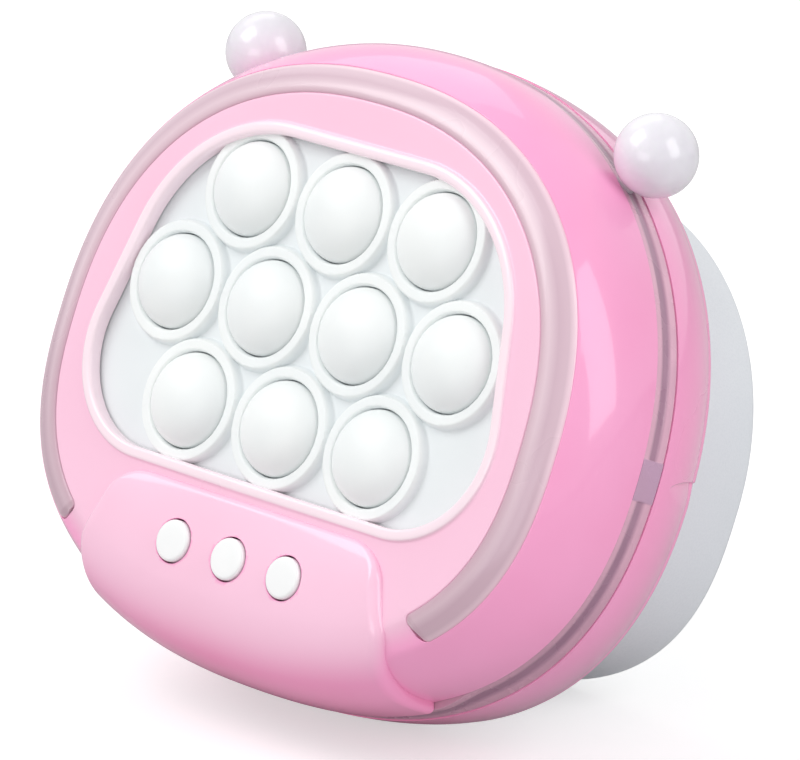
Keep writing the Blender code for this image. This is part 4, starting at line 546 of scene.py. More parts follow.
# %% Front shell
def make_front_shell():
    """Ring of rays whose section is a chain of softened corners, each with its softening."""
    ends = [-CHANNEL_END, math.pi + CHANNEL_END]
    turns = ring_turns(640, [(end, math.radians(2.2), 26) for end in ends])
    run = run_from_end(turns, CHANNEL_END)
    sunk = CHANNEL_DEEP * smoothstep(run, -0.05, 0.3)
    draft = CHANNEL_DRAFT * sunk / CHANNEL_DEEP
    draw = corner_draw(run, CHANNEL_CORNER)
    shut = draw / CHANNEL_CORNER
    opening, rim = reach(window(-1.8), turns), reach(window(0.0), turns)
    near, far = reach(superellipse(CHANNEL_IN), turns), reach(superellipse(CHANNEL_OUT), turns)
    slope = (CHANNEL_OUT_Y - FACE_Y) / (far - near)
    edge_share = 0.035 * (1.0 - shut)
    start, end = side_curve(0.0, 0.0, turns), side_curve(1.0, 0.0, turns)
    edge = level(
        start[:, 0] + (end - start)[:, 0] * (1.0 - (1.0 - edge_share) ** SIDE_POWER),
        CHANNEL_OUT_Y + (SEAM_Y - CHANNEL_OUT_Y) * edge_share,
    )
    corners = [
        (level(opening, INSIDE_Y), 0.2),
        (level(opening, LIP_Y), 0.85),
        (level(rim + 0.05, LIP_Y), 0.9),
        (level(rim + 0.35, FACE_Y), 0.45),
        (level(rim + (near - rim) * 0.35, FACE_Y), 0.0),
        (level(rim + (near - rim) * 0.7, FACE_Y), 0.0),
        (level(near - 1.2 * (1.0 - shut), FACE_Y), 3.0 * shut + 0.02),
        (level(near + draw, FACE_Y + slope * draw), 0.35),
        (level(near + draft + draw, FACE_Y + slope * draw + sunk), 0.3),
        (level(far - draft - draw, CHANNEL_OUT_Y - slope * draw + sunk), 0.3),
        (level(far - draw, CHANNEL_OUT_Y - slope * draw), 0.35),
        (edge, 3.0 * shut + 0.02),
    ]
    for share in 1.0 - (1.0 - np.linspace(0.07, 0.97, 24)) ** 1.15:
        corners.append((side_curve(share, 0.0, turns), 0.0))
    corners += [
        (side_curve(1.0, 0.0, turns), 0.3),
        (level(side_curve(1.0, WALL, turns)[:, 0], SEAM_Y), 0.3),
        (side_curve(0.62, WALL, turns), 0.0),
        (side_curve(0.32, WALL, turns) + np.outer(sunk, (0.0, 0.5)), 0.0),
        (level(far, CHANNEL_OUT_Y + WALL + sunk), 0.0),
        (level(reach(superellipse(CHANNEL_IN, 1.0), turns), INSIDE_Y + sunk), 0.0),
        (level(reach(superellipse(CHANNEL_IN, 2.0), turns), INSIDE_Y), 0.0),
    ]
    section = rounded_section(corners)
    shell = surface("pink_front_shell", spun_out(section, turns), wrap_rows=True)
    # The lip's share: its slim wall lets light through, and its paleness is partly a painted
    # highlight.
    thin_and_painted_light = 1.0 - smoothstep(section[..., 0] - rim, -0.1, 0.9)
    thin_and_painted_light = np.where(section[..., 1] < 0.2, thin_and_painted_light, 0.0)
    # Painted highlight: the flat face inside the channel is half way to the pale tone, fading
    # across the channel.
    face = 0.5 * (1.0 - smoothstep(section[..., 0], near, far))
    store(shell, "thin_and_painted_light", np.maximum(thin_and_painted_light, face))
    return shell


front_shell = make_front_shell()
print("front shell:", triangles(front_shell), "triangles")

# %% [markdown]
# ## Belly
#
# Below the window the face swells into a belly that carries the three buttons and rolls under
# to the seam. It stands a little proud of the shell inside a rounded upright frame. It is a
# surface of its own, sampled across and down: a nearly flat front, then superellipses that
# spread as they go back. Its edge rolls over like a quarter circle and dips into the shell,
# which gives the soft bright line along its top and the fine crease at its side.

# %% Belly
BUTTON_X, BUTTON_Z, BUTTON_RADIUS, BUTTON_PLAY = (-12.7, 0.0, 12.7), -40.9, 3.5, 0.3
CREST_Z, CREST_Y, BELLY_TOP, BELLY_TOP_Y = -42.0, -3.6, -31.0, -2.35
CREST_HALF, SPREAD_SIDE, SPREAD_DOWN, ROLL_POWER = 56.6, 7.0, 18.6, 2.6
FRAME_SIDE, FRAME_CORNER_Z, FRAME_TOP_SIDE = 35.2, -44.9, 29.4
FRAME_RADII = (1.0, 6.0, 9.0, 9.0, 6.0, 1.0)
EDGE_ROLL, SEAM_ROLL, BELLY_WALL = 1.1, 0.4, 1.6


def lower_branch(x, spread):
    """Height of the belly's outline at x: mid - h * (1 - |x / w| ^ p) ^ (1 / p)."""
    half_width = CREST_HALF + SPREAD_SIDE * spread
    height = MID_Z - CREST_Z + SPREAD_DOWN * spread
    power = SHELL_POWERS[1]
    return MID_Z - height * (1.0 - (np.abs(x) / half_width) ** power) ** (1.0 / power)


def belly_point(x, down):
    """Height and depth at x: the front for down from 0 to 1, the roll to the seam from 1 to 2.

    The roll is a quarter of a superellipse, (sin t) ^ (2 / p) down and (cos t) ^ (2 / p) back.
    """
    front = np.clip(down, 0.0, 1.0)
    turn = np.clip(down - 1.0, 0.0, 1.0) * math.pi / 2.0
    spread = np.sin(turn) ** (2.0 / ROLL_POWER)
    roll_z = lower_branch(x, spread)
    roll_y = CREST_Y + (SEAM_Y - CREST_Y) * (1.0 - np.cos(turn) ** (2.0 / ROLL_POWER))
    front_z = BELLY_TOP + (lower_branch(x, 0.0) - BELLY_TOP) * front
    front_y = BELLY_TOP_Y + (CREST_Y - BELLY_TOP_Y) * (2.0 * front - front ** 2)
    return np.where(down < 1.0, front_z, roll_z), np.where(down < 1.0, front_y, roll_y)


def gap_to_line(x, z, line):
    """Least distance to the line's pieces: drop onto each piece, held between its ends."""
    start, piece = line.T, np.roll(line.T, -1, axis=0) - line.T
    spot = np.stack([x.ravel(), z.ravel()], 1)[:, None] - start
    share = (spot * piece).sum(2) / np.maximum((piece ** 2).sum(1), 1e-12)
    off = spot - np.clip(share, 0.0, 1.0)[..., None] * piece
    return np.sqrt((off ** 2).sum(2).min(1)).reshape(x.shape)


def make_belly():
    """Outer and inner grid inside the frame: across by a sine, and down with close last rows.

    Each row's half width starts as a guess and moves halfway to the frame's until they agree.
    The outer edge rolls in by r - sqrt(r^2 - (r - gap)^2), the gap being that to the frame.
    """
    right = [(FRAME_SIDE, -80.0), (FRAME_SIDE, FRAME_CORNER_Z), (FRAME_TOP_SIDE, BELLY_TOP)]
    left = [(-x, z) for x, z in reversed(right)]
    frame_line = rounded_corners(right + left, FRAME_RADII)
    half = frame_line[:, frame_line[0] > 0.0]
    order = np.argsort(half[1])
    front = np.linspace(0.0, 1.0, 34, endpoint=False) ** 1.5
    rolling = np.linspace(0.0, 0.97, 34) ** 1.25
    last = np.array((0.98, 0.99, 0.995, 0.998, 0.9994, 1.0))
    down = np.concatenate([front, 1.0 + rolling, 1.0 + last])[:, None]
    edge = np.full(len(down), 30.0)
    for _ in range(30):
        z, _ = belly_point(edge[:, None], down)
        edge = 0.5 * edge + 0.5 * np.interp(z[:, 0], half[1][order], half[0][order])
    across = np.sin(np.linspace(-1.0, 1.0, 141) * math.pi / 2.0)
    x = edge[:, None] * across
    z, y = belly_point(x, down + 0.0 * x)
    gap = gap_to_line(x, z, frame_line)
    points = np.stack([x, y, z], 2)
    normal = np.cross(np.gradient(points, axis=1), np.gradient(points, axis=0))
    normal /= -np.linalg.norm(normal, axis=2, keepdims=True) * np.sign(normal[10, 70, 1])
    fuller = smoothstep(-z, 33.0, 39.0) * (1.0 - smoothstep(y, 2.0, 13.0))
    size = EDGE_ROLL + EDGE_ROLL * fuller
    roll = size - np.sqrt(size ** 2 - np.clip(size - gap, 0.0, size) ** 2)
    seam_left = np.clip(SEAM_ROLL - (SEAM_Y - y), 0.0, SEAM_ROLL)
    roll = np.maximum(roll, SEAM_ROLL - np.sqrt(SEAM_ROLL ** 2 - seam_left ** 2))
    outer = points - normal * roll[..., None]
    inner = points - normal * (size + BELLY_WALL)[..., None]
    inner[..., 1] = np.minimum(inner[..., 1], SEAM_Y)
    return outer, inner


def sheet_pair(name, outer, inner, sharp):
    """Closed slab between two grids of the same size, joined round their borders."""
    index = point_numbers(*outer.shape[:2])
    quads, border = quads_of(index), border_of(index)
    ahead = np.roll(border, -1)
    band = np.stack([border, border + index.size, ahead + index.size, ahead], 1)
    points = placed(np.concatenate([outer.reshape(-1, 3), inner.reshape(-1, 3)]))
    return solid(name, points, [quads, quads[:, ::-1] + index.size, band], sharp)


def button_holes():
    """A round cutter for each button, a little wider than its cap."""
    return [rod(BUTTON_RADIUS + BUTTON_PLAY, (x, BUTTON_Z), -6.0, 2.0) for x in BUTTON_X]


outer_belly, inner_belly = make_belly()
belly = sheet_pair("pink_belly", outer_belly, inner_belly, 70.0)
# Painted highlight: the belly's front is half way to the pale tone, fading as it rolls back.
belly_painted_light = 0.5 * (1.0 - smoothstep(outer_belly[..., 1], -3.5, 2.5))
store(belly, "thin_and_painted_light", np.tile(belly_painted_light, (2, 1)))
cut(belly, button_holes(), sharp=70.0)
cut(front_shell, button_holes())
for shell in (front_shell, belly):
    dress(shell, "case", "shell_pink", PINK, "front_shell")

# %% [markdown]
# ## Rear shell
#
# The rear shell is the second half of the pink case. It narrows a little towards the back,
# turns over a small radius into its back wall, and lets the white cover through. A shallow
# half moon in its right side takes a thumb that opens the case. A Boolean leaves a ragged edge
# on so flat a scoop, so it is pressed into the rows of the side before they become a mesh. The
# four sinks for the screw heads are plain round cuts.

# %% Rear shell
CASE_SCREWS = ((20.5, 37.2), (-20.5, 37.2), (33.0, -45.5), (-33.0, -45.5))
SIDE_START_Y, REAR_ROUND = 19.9, 1.7
NOTCH_Z, NOTCH_HIGH, NOTCH_LONG, NOTCH_DEEP = -9.3, 2.3, 12.6, 1.0


def pressed_in(row, turns):
    """A row of the side with the thumb notch pressed in: a half moon, steep along its top.

    Along the game the notch is half an ellipse that is widest at the rear edge, and deepest
    halfway, 4 s (1 - s). Down from its upper line the depth jumps up and then eases back to
    nothing at its lower line.
    """
    height = RAY_Z + row[:, 0] * np.sin(turns) - NOTCH_Z
    way = (REAR_Y - row[:, 1]) / NOTCH_LONG
    half = NOTCH_HIGH * np.sqrt(np.clip(1.0 - way ** 2, 0.0, 1.0))
    along = 0.1 + 0.9 * np.clip(way, 0.0, 1.0)
    share = (half - height) / np.maximum(2.0 * half, 1e-6)
    inside = (share > 0.0) & (share < 1.0) & (half > 0.0) & (np.cos(turns) > 0.0)
    share = np.clip(share, 0.0, 1.0)
    depth = NOTCH_DEEP * 4.0 * along * (1.0 - along)
    depth = depth * smoothstep(share, 0.0, 0.1) * (1.0 - share) ** 1.6
    return level(row[:, 0] - np.where(inside, depth, 0.0), row[:, 1])


def make_rear_shell():
    """Ring of rays: seam edge, side drawn in with the square of the depth, fillet, back wall."""
    turns = ring_turns(480, [(math.atan2(NOTCH_Z - RAY_Z, 59.0), 0.06, 110)])
    start, end = reach(superellipse(REAR_SEAM), turns), reach(superellipse(REAR_EDGE), turns)
    inner_start = reach(superellipse(REAR_SEAM, WALL), turns)
    inner_end = reach(superellipse(REAR_EDGE, WALL), turns)
    opening = reach(superellipse(COVER, -0.3), turns)
    foot = REAR_Y - REAR_ROUND
    side = []
    for share in np.linspace((SEAM_REAR_Y - SIDE_START_Y) / (foot - SIDE_START_Y), 1.0, 44):
        depth = SIDE_START_Y + (foot - SIDE_START_Y) * share
        side.append(level(start + (end - start) * share ** 2, depth))
    for turn in np.radians((15.0, 30.0, 45.0, 60.0, 75.0, 90.0)):
        edge = superellipse(REAR_EDGE, REAR_ROUND * (1.0 - math.cos(turn)))
        side.append(level(reach(edge, turns), foot + REAR_ROUND * math.sin(turn)))
    corners = [(pressed_in(row, turns), 0.0) for row in side]
    corners += [
        (level(opening + 1.2, REAR_Y), 0.0),
        (level(opening, REAR_Y), 0.3),
        (level(opening, REAR_Y - WALL), 0.2),
        (level(inner_end, REAR_Y - WALL), 0.0),
        (level(inner_start + (inner_end - inner_start) * 0.2, SEAM_REAR_Y + 7.0), 0.0),
        (level(inner_start, SEAM_REAR_Y), 0.3),
        (level(start - 0.3, SEAM_REAR_Y), 0.0),
    ]
    section = rounded_section(corners)
    shell = surface("pink_rear_shell", spun_out(section, turns), wrap_rows=True)
    store(shell, "thin_and_painted_light", np.zeros(len(shell.data.vertices)))
    sinks = [rod(2.8, place, REAR_Y - 1.2, REAR_Y + 1.0) for place in CASE_SCREWS]
    bores = [rod(1.8, place, REAR_Y - 4.0, REAR_Y, 32) for place in CASE_SCREWS]
    return cut(shell, sinks + bores)


dress(make_rear_shell(), "case", "shell_pink", PINK, "rear_shell")

# %% [markdown]
# ## Seam ring
#
# Between the shells lies a ring of smoky clear plastic that lights up. Its face is sunk a
# little between the pink edges. Pink light at its borders and shade along its middle and at its
# foot are painted into its colour.
# On each side a short block comes nearly flush with the case. The block could be a piece of its
# own, but one ring of rays gives all of it: the recess is simply less deep where the block is.

# %% Seam ring
SHADED_GROOVE_Y = 18.0


def smoke_recipe(graph, place):
    """Mauve plastic, streaked, with painted shade along its middle and its foot, and painted
    pink light at both borders.
    """
    # Painted shade along the groove's line and painted pink light at both borders.
    depth = place.along(BACK)
    off_middle = graph.math("ABSOLUTE", depth - SHADED_GROOVE_Y)
    border = off_middle.between(0.4, 1.5)
    streak = place.noise(140.0, 3.0).between(0.35, 0.65)
    block = attribute(graph, "block")
    body = border.mix(colour(166, 123, 148), colour(230, 178, 200))
    body = block.mix(body, colour(196, 156, 186))
    body = (streak * 0.25).mix(body, colour(194, 152, 174))
    # Painted shade: darker towards the bottom.
    foot = 1.0 - place.along(UP).between(-40.0, -5.0)
    body = (foot * 0.3).mix(body, colour(110, 75, 98))
    return {
        "Base Color": body,
        "Roughness": streak * 0.08 + 0.24,
        "Coat Weight": 0.3,
        "Coat Roughness": 0.1,
        "Normal": grain(place, 3200.0, 0.15),
    }


SMOKE = finish("smoky_clear_plastic", smoke_recipe)
LUG_Z, LUG_HALF = -9.0, 3.5
RECESS, LUG_RAISED, GROOVE = 0.2, 0.12, 0.16


def make_seam_ring():
    """Rays whose small recess eases to nearly nothing where the flush block stands."""
    lug_turn = math.atan2(LUG_Z - RAY_Z, 61.0)
    spots = [(lug_turn, 0.075, 60), (math.pi - lug_turn, 0.075, 60)]
    turns = ring_turns(480, spots)
    height = RAY_Z + reach(superellipse(SEAM), turns) * np.sin(turns)
    lug = 1.0 - smoothstep(np.abs(height - LUG_Z), LUG_HALF - 0.2, LUG_HALF + 0.05)
    recess = RECESS - LUG_RAISED * lug
    groove = recess + GROOVE * (1.0 - lug)
    front, rear = reach(superellipse(SEAM), turns), reach(superellipse(REAR_SEAM), turns)
    under = 1.0 - smoothstep(np.abs(rear * np.cos(turns)), 36.0, 44.0)
    front = front + (rear - front) * np.where(np.sin(turns) < 0.0, under, 0.0)

    def ring(inset, depth):
        share = np.clip((depth - SEAM_Y) / (SEAM_REAR_Y - SEAM_Y), 0.0, 1.0)
        return level(front + (rear - front) * share - inset, depth)

    corners = [
        (ring(recess, 15.7), 0.15),
        (ring(recess, 17.0), 0.25),
        (ring(groove, 17.4), 0.25),
        (ring(groove, 18.6), 0.25),
        (ring(recess, 19.0), 0.25),
        (ring(recess, 20.9), 0.15),
        (ring(2.3, 20.9), 0.0),
        (ring(2.3, 21.8), 0.2),
        (ring(3.6, 21.8), 0.2),
        (ring(3.6, 13.7), 0.2),
        (ring(2.3, 13.7), 0.2),
        (ring(2.3, 15.7), 0.0),
    ]
    section = rounded_section(corners, 4)
    ring_item = surface("smoky_seam_ring", spun_out(section, turns), wrap_rows=True, sharp=40.0)
    store(ring_item, "block", np.tile(lug, (len(section), 1)))
    return ring_item


dress(make_seam_ring(), "case", "seam_ring", SMOKE, "seam_light_ring")

# %% [markdown]
# ## Light strip
#
# A milky strip fills the channel in the face like a soft tube. Painted highlight and shade run
# along it, darker where it meets the walls, and painted shade darkens it towards the bottom.
# A bevelled curve could be bent into the
# channel, but the section has to change on its way. Here a short section is carried over the
# channel's own rays, and near its two ends it narrows on a quarter circle, as the channel does.

# %% Light strip
# Painted shade and highlight across the strip: darker by the walls, a bright line near the outer
# edge.
STRIP_SHADE_AND_HIGHLIGHT = [
    (0.02, colour(210, 168, 186)),
    (0.12, colour(216, 184, 196)),
    (0.32, colour(227, 201, 211)),
    (0.58, colour(206, 175, 189)),
    (0.84, colour(216, 186, 199)),
    (0.95, colour(247, 216, 228)),
    (1.0, colour(244, 195, 216)),
]


def strip_recipe(graph, place):
    """Mauve stripes of painted highlight and shade across the strip, a slow cloud along it, and
    painted shade towards the bottom.
    """
    across = attribute(graph, "across")
    cloud = place.noise(45.0, 3.0).between(0.3, 0.7)
    bands = across.add("ValToRGB", {"Fac": across}, stops=STRIP_SHADE_AND_HIGHLIGHT)
    body = (cloud * 0.3).mix(bands, colour(217, 187, 199))
    # Painted shade: darker towards the bottom.
    foot = 1.0 - place.along(UP).between(-25.0, 0.0)
    body = (foot * 0.25).mix(body, colour(160, 118, 138))
    return {
        "Base Color": body,
        "Roughness": cloud * 0.06 + 0.26,
        "Coat Weight": 0.35,
        "Coat Roughness": 0.12,
        "Normal": grain(place, 2600.0, 0.12),
    }


STRIP = finish("milky_strip_plastic", strip_recipe)


def make_light_strip():
    """Section of a flat-backed half ellipse, swept over the channel's rays between its ends."""
    end = CHANNEL_END - math.radians(0.25)
    spread = np.linspace(-end, math.pi + end, 560)
    close = np.linspace(0.0, math.radians(2.2), 24)
    turns = np.unique(np.concatenate([spread, close - end, math.pi + end - close]).round(9))
    run = run_from_end(turns, end)
    draw = corner_draw(run, 1.3)
    near = reach(superellipse(CHANNEL_IN), turns) - 0.03 + draw
    far = reach(superellipse(CHANNEL_OUT), turns) + 0.03 - draw
    rows, crowns = [], []
    for share in 0.5 - 0.5 * np.cos(np.linspace(0.0, math.pi, 25)):
        bulge = 2.0 * math.sqrt(max(share * (1.0 - share), 0.0))
        depth = FACE_Y + (CHANNEL_OUT_Y - FACE_Y) * share - 0.5 * (bulge * 2.0 - 0.7)
        depth = depth + 0.5 * (1.0 - smoothstep(run, 0.0, 1.4)) * bulge
        rows.append(level(near + (far - near) * share, depth))
        crowns.append(np.full(len(turns), share))
    for share, side, depth in ((1.0, far - 0.4, CHANNEL_OUT_Y), (0.0, near + 0.4, FACE_Y)):
        rows.append(level(side, depth + 2.6))
        crowns.append(np.full(len(turns), share))
    grid = spun_out(np.array(rows), turns).transpose(1, 0, 2)
    strip = surface("milky_light_strip", grid, ends=True, sharp=60.0)
    store(strip, "across", np.array(crowns).T)
    return strip


dress(make_light_strip(), "case", "light_strip", STRIP, "front_light_strip")

# %% [markdown]
# ## Ear lamps
#
# Each ear is a milky ball moulded with a short stem. Light goes a little way into the plastic
# and comes out again, which subsurface scattering gives, and a clear skin carries sharp
# reflections. The ball and the stem are one profile turned about the ear's own axis, with a
# small fillet where they meet.

# %% Ear lamps
# Grey lilac milk with slow swirls, light just under the skin, and a clear coat.
MILKY = clouded(
    "milky_lamp_plastic",
    noise=(90.0, 3.0, 0.6),
    span=(0.3, 0.72),
    tones=((227, 224, 231), (236, 234, 240)),
    rough=(0.08, 0.3),
    skin=(2400.0, 0.08),
    constants={
        "Subsurface Weight": 0.35,
        "Subsurface Radius": (0.004, 0.0035, 0.004),
        "Subsurface Scale": 1.0,
        "Coat Weight": 0.7,
        "Coat Roughness": 0.09,
    },
)
EAR_RADIUS, STEM_RADIUS, EAR_OFF, EAR_TURN = 6.9, 1.85, 7.04, math.radians(50.5)
EAR_Y, SEAM_POINTS = 17.75, 720


def ear_frame(side):
    """Middle of the ball and the unit way outward, square to the seam's outline."""
    x, z = superellipse(SEAM, count=SEAM_POINTS)
    spot = round(EAR_TURN / (2.0 * math.pi) * SEAM_POINTS)
    run_x, run_z = x[spot + 1] - x[spot - 1], z[spot + 1] - z[spot - 1]
    out = np.array((side * run_z, 0.0, -run_x)) / math.hypot(run_x, run_z)
    foot = np.array((side * x[spot], EAR_Y, z[spot]))
    return foot + out * EAR_OFF, out


def make_ear(side, name):
    """Ball, fillet, stem, flange and bore: point = middle + height * out + radius * circle."""
    neck = math.pi - math.asin((STEM_RADIUS + 0.5) / EAR_RADIUS)
    turn = np.linspace(0.004, neck, 56)
    profile = [(EAR_RADIUS * math.sin(t), EAR_RADIUS * math.cos(t)) for t in turn]
    last = profile[-1][1]
    profile += [(STEM_RADIUS + 0.22, last - 0.16), (STEM_RADIUS + 0.05, last - 0.4)]
    profile += [(STEM_RADIUS, last - 0.75), (STEM_RADIUS, -10.94), (3.1, -10.94), (3.1, -11.94)]
    profile += [(1.2, -11.94), (1.2, -5.64), (0.4, -5.3), (0.0, -5.3)]
    middle, out = ear_frame(side)
    first = np.array((0.0, 1.0, 0.0))
    turn = np.linspace(0.0, 2.0 * math.pi, 72, endpoint=False)[:, None]
    circle = np.cos(turn) * first + np.sin(turn) * np.cross(out, first)
    profile = np.array(profile)
    radius = np.maximum(profile[:, :1, None], LEAST_RADIUS)
    return surface(name, middle + profile[:, 1:, None] * out + radius * circle, ends=True)


for side, word in ((-1.0, "left"), (1.0, "right")):
    dress(make_ear(side, f"milky_ear_{word}"), "case", "milky_lamp", MILKY, f"ear_lamp_{word}")

# %% [markdown]
# ## Silicone pad
#
# The pad is one soft sheet with a raised ring round each bubble. Where two rings touch they
# flow into each other and leave small three-cornered hollows. Modelling each ring and merging
# them by hand would leave hard creases. A height field with a smooth maximum does it at once:
# log(exp(k a) + exp(k b)) / k is close to the larger height and rounds the valley between.

# %% Bubble places and silicone
PITCH, HOLE_RADIUS, BUBBLE_RADIUS = 21.0, 8.22, 8.05
SHEET_Y, CREST_RAISE, PAD_THICK = 0.45, 1.58, 1.75
RIDGE_RADIUS, RIDGE_FLAT, RIDGE_FOOT, RIDGE_BLEND = 9.3, 0.75, 1.45, 9.0
ROW_STEP = PITCH * math.sqrt(3.0) / 2.0
BUBBLES = [
    (PITCH * (column - (count - 1) / 2.0), ROW_STEP * (1 - row))
    for row, count in enumerate((3, 4, 3))
    for column in range(count)
]


def silicone_recipe(graph, place):
    """Soft white with a hint of green, painted shade on the sheet sunk between the rings, with
    fine pores and dust.
    """
    cloud = place.noise(60.0, 3.0).between(0.3, 0.7)
    dust = place.noise(1500.0, 2.0).between(0.6, 0.8)
    body = cloud.mix(colour(242, 246, 246), colour(247, 250, 249))
    # Painted shade: the sheet sunk behind the rings is darker and cooler.
    sunk_sheet_shade = place.along(BACK).between(-1.0, 0.3)
    body = (sunk_sheet_shade * 0.8).mix(body, colour(233, 238, 240))
    return {
        "Base Color": (dust * 0.1).mix(body, colour(232, 234, 234)),
        "Roughness": cloud * 0.06 + dust * 0.08 + 0.44,
        "Subsurface Weight": 0.15,
        "Subsurface Radius": (0.0015, 0.0015, 0.0015),
        "Subsurface Scale": 1.0,
        "Normal": grain(place, 4200.0, 0.18),
    }


SILICONE = finish("white_silicone", silicone_recipe)

# %% Pad
def pad_raise(x, z, inside):
    """Height over the sheet: flat-topped rings that fall off smoothly, under a smooth maximum."""
    total = np.ones_like(x)
    for bubble_x, bubble_z in BUBBLES:
        off = np.abs(np.hypot(x - bubble_x, z - bubble_z) - RIDGE_RADIUS)
        ridge = CREST_RAISE * (1.0 - smoothstep(off, RIDGE_FLAT, RIDGE_FOOT))
        total = total + np.exp(RIDGE_BLEND * ridge * inside) - 1.0
    return np.minimum(np.log(total) / RIDGE_BLEND, CREST_RAISE + 0.04)


def make_pad():
    """Rows of the window's shape, columns scaled to each row's width, raised into rings.

    The rings sink into the sheet just outside the window, where the lip covers them.
    """
    edge = window(-0.6)
    right = edge[:, edge[0] > 0.0]
    order = np.argsort(right[1])
    z = np.linspace(edge[1].min() + 0.001, edge[1].max() - 0.001, 250)
    half = np.interp(z, right[1][order], right[0][order])
    x = half[:, None] * np.linspace(-1.0, 1.0, 391)
    z = np.broadcast_to(z[:, None], x.shape)
    turns = np.arctan2(z - RAY_Z, x)
    left = reach(window(-1.45), turns) - np.hypot(x, z - RAY_Z)
    inside = smoothstep(left, 0.0, 0.16)
    front = np.stack([x, SHEET_Y - pad_raise(x, z, inside), z], 2).reshape(-1, 3)
    index = point_numbers(*x.shape)
    border = border_of(index)
    rim = front[border] * (1.0, 0.0, 1.0) + (0.0, PAD_THICK, 0.0)
    back = index.size + np.arange(len(border))
    band = np.stack([border, back, np.roll(back, -1), np.roll(border, -1)], 1)
    points = placed(np.concatenate([front, rim]))
    pad = solid("silicone_pad", points, [quads_of(index), band, back[None, ::-1]], 60.0)
    return cut(pad, [rod(HOLE_RADIUS, place, -4.0, 4.0, 96) for place in BUBBLES])


dress(make_pad(), "case", "silicone", SILICONE, "bubble_pad")

# %% [markdown]
# ## Bubbles and buttons
#
# A bubble is a thin dome with a flange behind the pad. Each one is its own object on its own
# sliding body. A dome could be cut from a sphere, but it is flatter than one, so its section is
# drawn and turned about the slide's axis. The buttons are flat caps with a soft edge, a flange
# that keeps them in the case, and a stem that meets the switch.

# %% Bubbles
DOME_Y, DOME_HIGH, DOME_WALL = 0.2, 5.3, 1.0


def bubble_profile():
    """Half ellipse outside, (r sin t, y - h cos t), flange, and a thinner one inside."""
    turn = np.linspace(0.004, math.pi / 2.0, 30)
    outer = [(BUBBLE_RADIUS * math.sin(t), DOME_Y - DOME_HIGH * math.cos(t)) for t in turn]
    radius, high = BUBBLE_RADIUS - DOME_WALL, DOME_HIGH - DOME_WALL
    inner = [(radius * math.sin(t), DOME_Y - high * math.cos(t)) for t in turn[::-3]]
    flange = [(BUBBLE_RADIUS, 2.05), (9.15, 2.05), (9.2, 2.1), (9.2, 2.8), (9.15, 2.85)]
    flange.append((radius, 2.85))
    return outer + flange + inner


for number, place in enumerate(BUBBLES, 1):
    dome = turned(f"silicone_bubble_{number:02d}", bubble_profile(), place, 80)
    dress(dome, f"bubble_key_{number:02d}", "silicone", SILICONE, f"bubble_{number:02d}")


# %% Buttons
# Clean white moulding with a satin gloss and faint flow clouds.
WHITE = clouded(
    "white_moulding",
    noise=(120.0, 2.0),
    span=(0.3, 0.7),
    tones=((248, 249, 249), (252, 252, 252)),
    rough=(0.06, 0.3),
    skin=(3600.0, 0.12),
)


def button_profile():
    """A cap domed by a tenth of a millimetre, with a rounded edge, flange and stem."""
    turn = np.linspace(0.1, 1.57, 8)
    flat = [(r, -4.4 + 0.12 * (r / 3.0) ** 2) for r in np.linspace(0.0, 2.9, 8)]
    edge = [(2.9 + 0.6 * math.sin(t), -3.68 - 0.6 * math.cos(t)) for t in turn]
    flange = [(BUTTON_RADIUS, 0.4), (BUTTON_RADIUS, 0.45), (4.5, 0.45), (4.5, 1.25)]
    return flat + edge + flange + [(1.3, 1.25), (1.3, 3.05), (0.0, 3.05)]


for name, x in zip(("mode", "power", "sound"), BUTTON_X):
    cap = turned(f"white_{name}_cap", button_profile(), (x, BUTTON_Z), 56)
    dress(cap, f"{name}_key", "white_plastic", WHITE, f"{name}_button")

# %% [markdown]
# ## Rear cover
#
# The white cover stands out behind the case and holds the cells and the speaker. It is a deep
# cup with a finely textured skin, as a mould that was eroded by sparks leaves it. The cup is
# lofted, and the tray, the seat of the speaker, the door's opening and the grille are joined or
# cut with exact Booleans, which keep the mesh closed.

# %% Rear cover
def cover_recipe(graph, place):
    """Cool white and a fine even grain, with painted shade greying the grain's hollows."""
    fine = place.noise(2600.0, 3.0, 0.6)
    cloud = place.noise(30.0, 2.0).between(0.3, 0.7)
    hollow = fine.between(0.35, 0.6)
    body = cloud.mix(colour(226, 230, 235), colour(232, 236, 240))
    # Painted shade: the grain's hollows are slightly greyer.
    body = ((1.0 - hollow) * 0.25).mix(body, colour(213, 218, 224))
    roughness = hollow * -0.06 + 0.42
    return {"Base Color": body, "Roughness": roughness, "Normal": bump(fine, 0.35, 0.00003)}


COVER_WHITE = finish("white_textured_cover", cover_recipe)


def box(low, high):
    """Closed box between two corners, as a loft of two rectangles."""
    (x0, y0, z0), (x1, y1, z1) = low, high
    ring = np.array([(x0, z0), (x1, z0), (x1, z1), (x0, z1)])
    grid = np.array([[(x, y, z) for x, z in ring] for y in (y0, y1)])
    return surface("block", grid, ends=True)


COVER_IN_Y, DOOR_IN_Y, COVER_ROUND, COVER_WALL = 62.6, 63.0, 2.7, 2.4
FLANGE_FRONT_Y, FLANGE_BACK_Y, FLANGE_IN = 32.7, 34.7, 2.6
DOOR_SCREW, PIN_END, DRILLED = (0.0, -0.8), 27.8, 1.8
SPEAKER_Z, GRILLE_STEP, GRILLE_RADIUS = 18.6, 3.6, 0.8


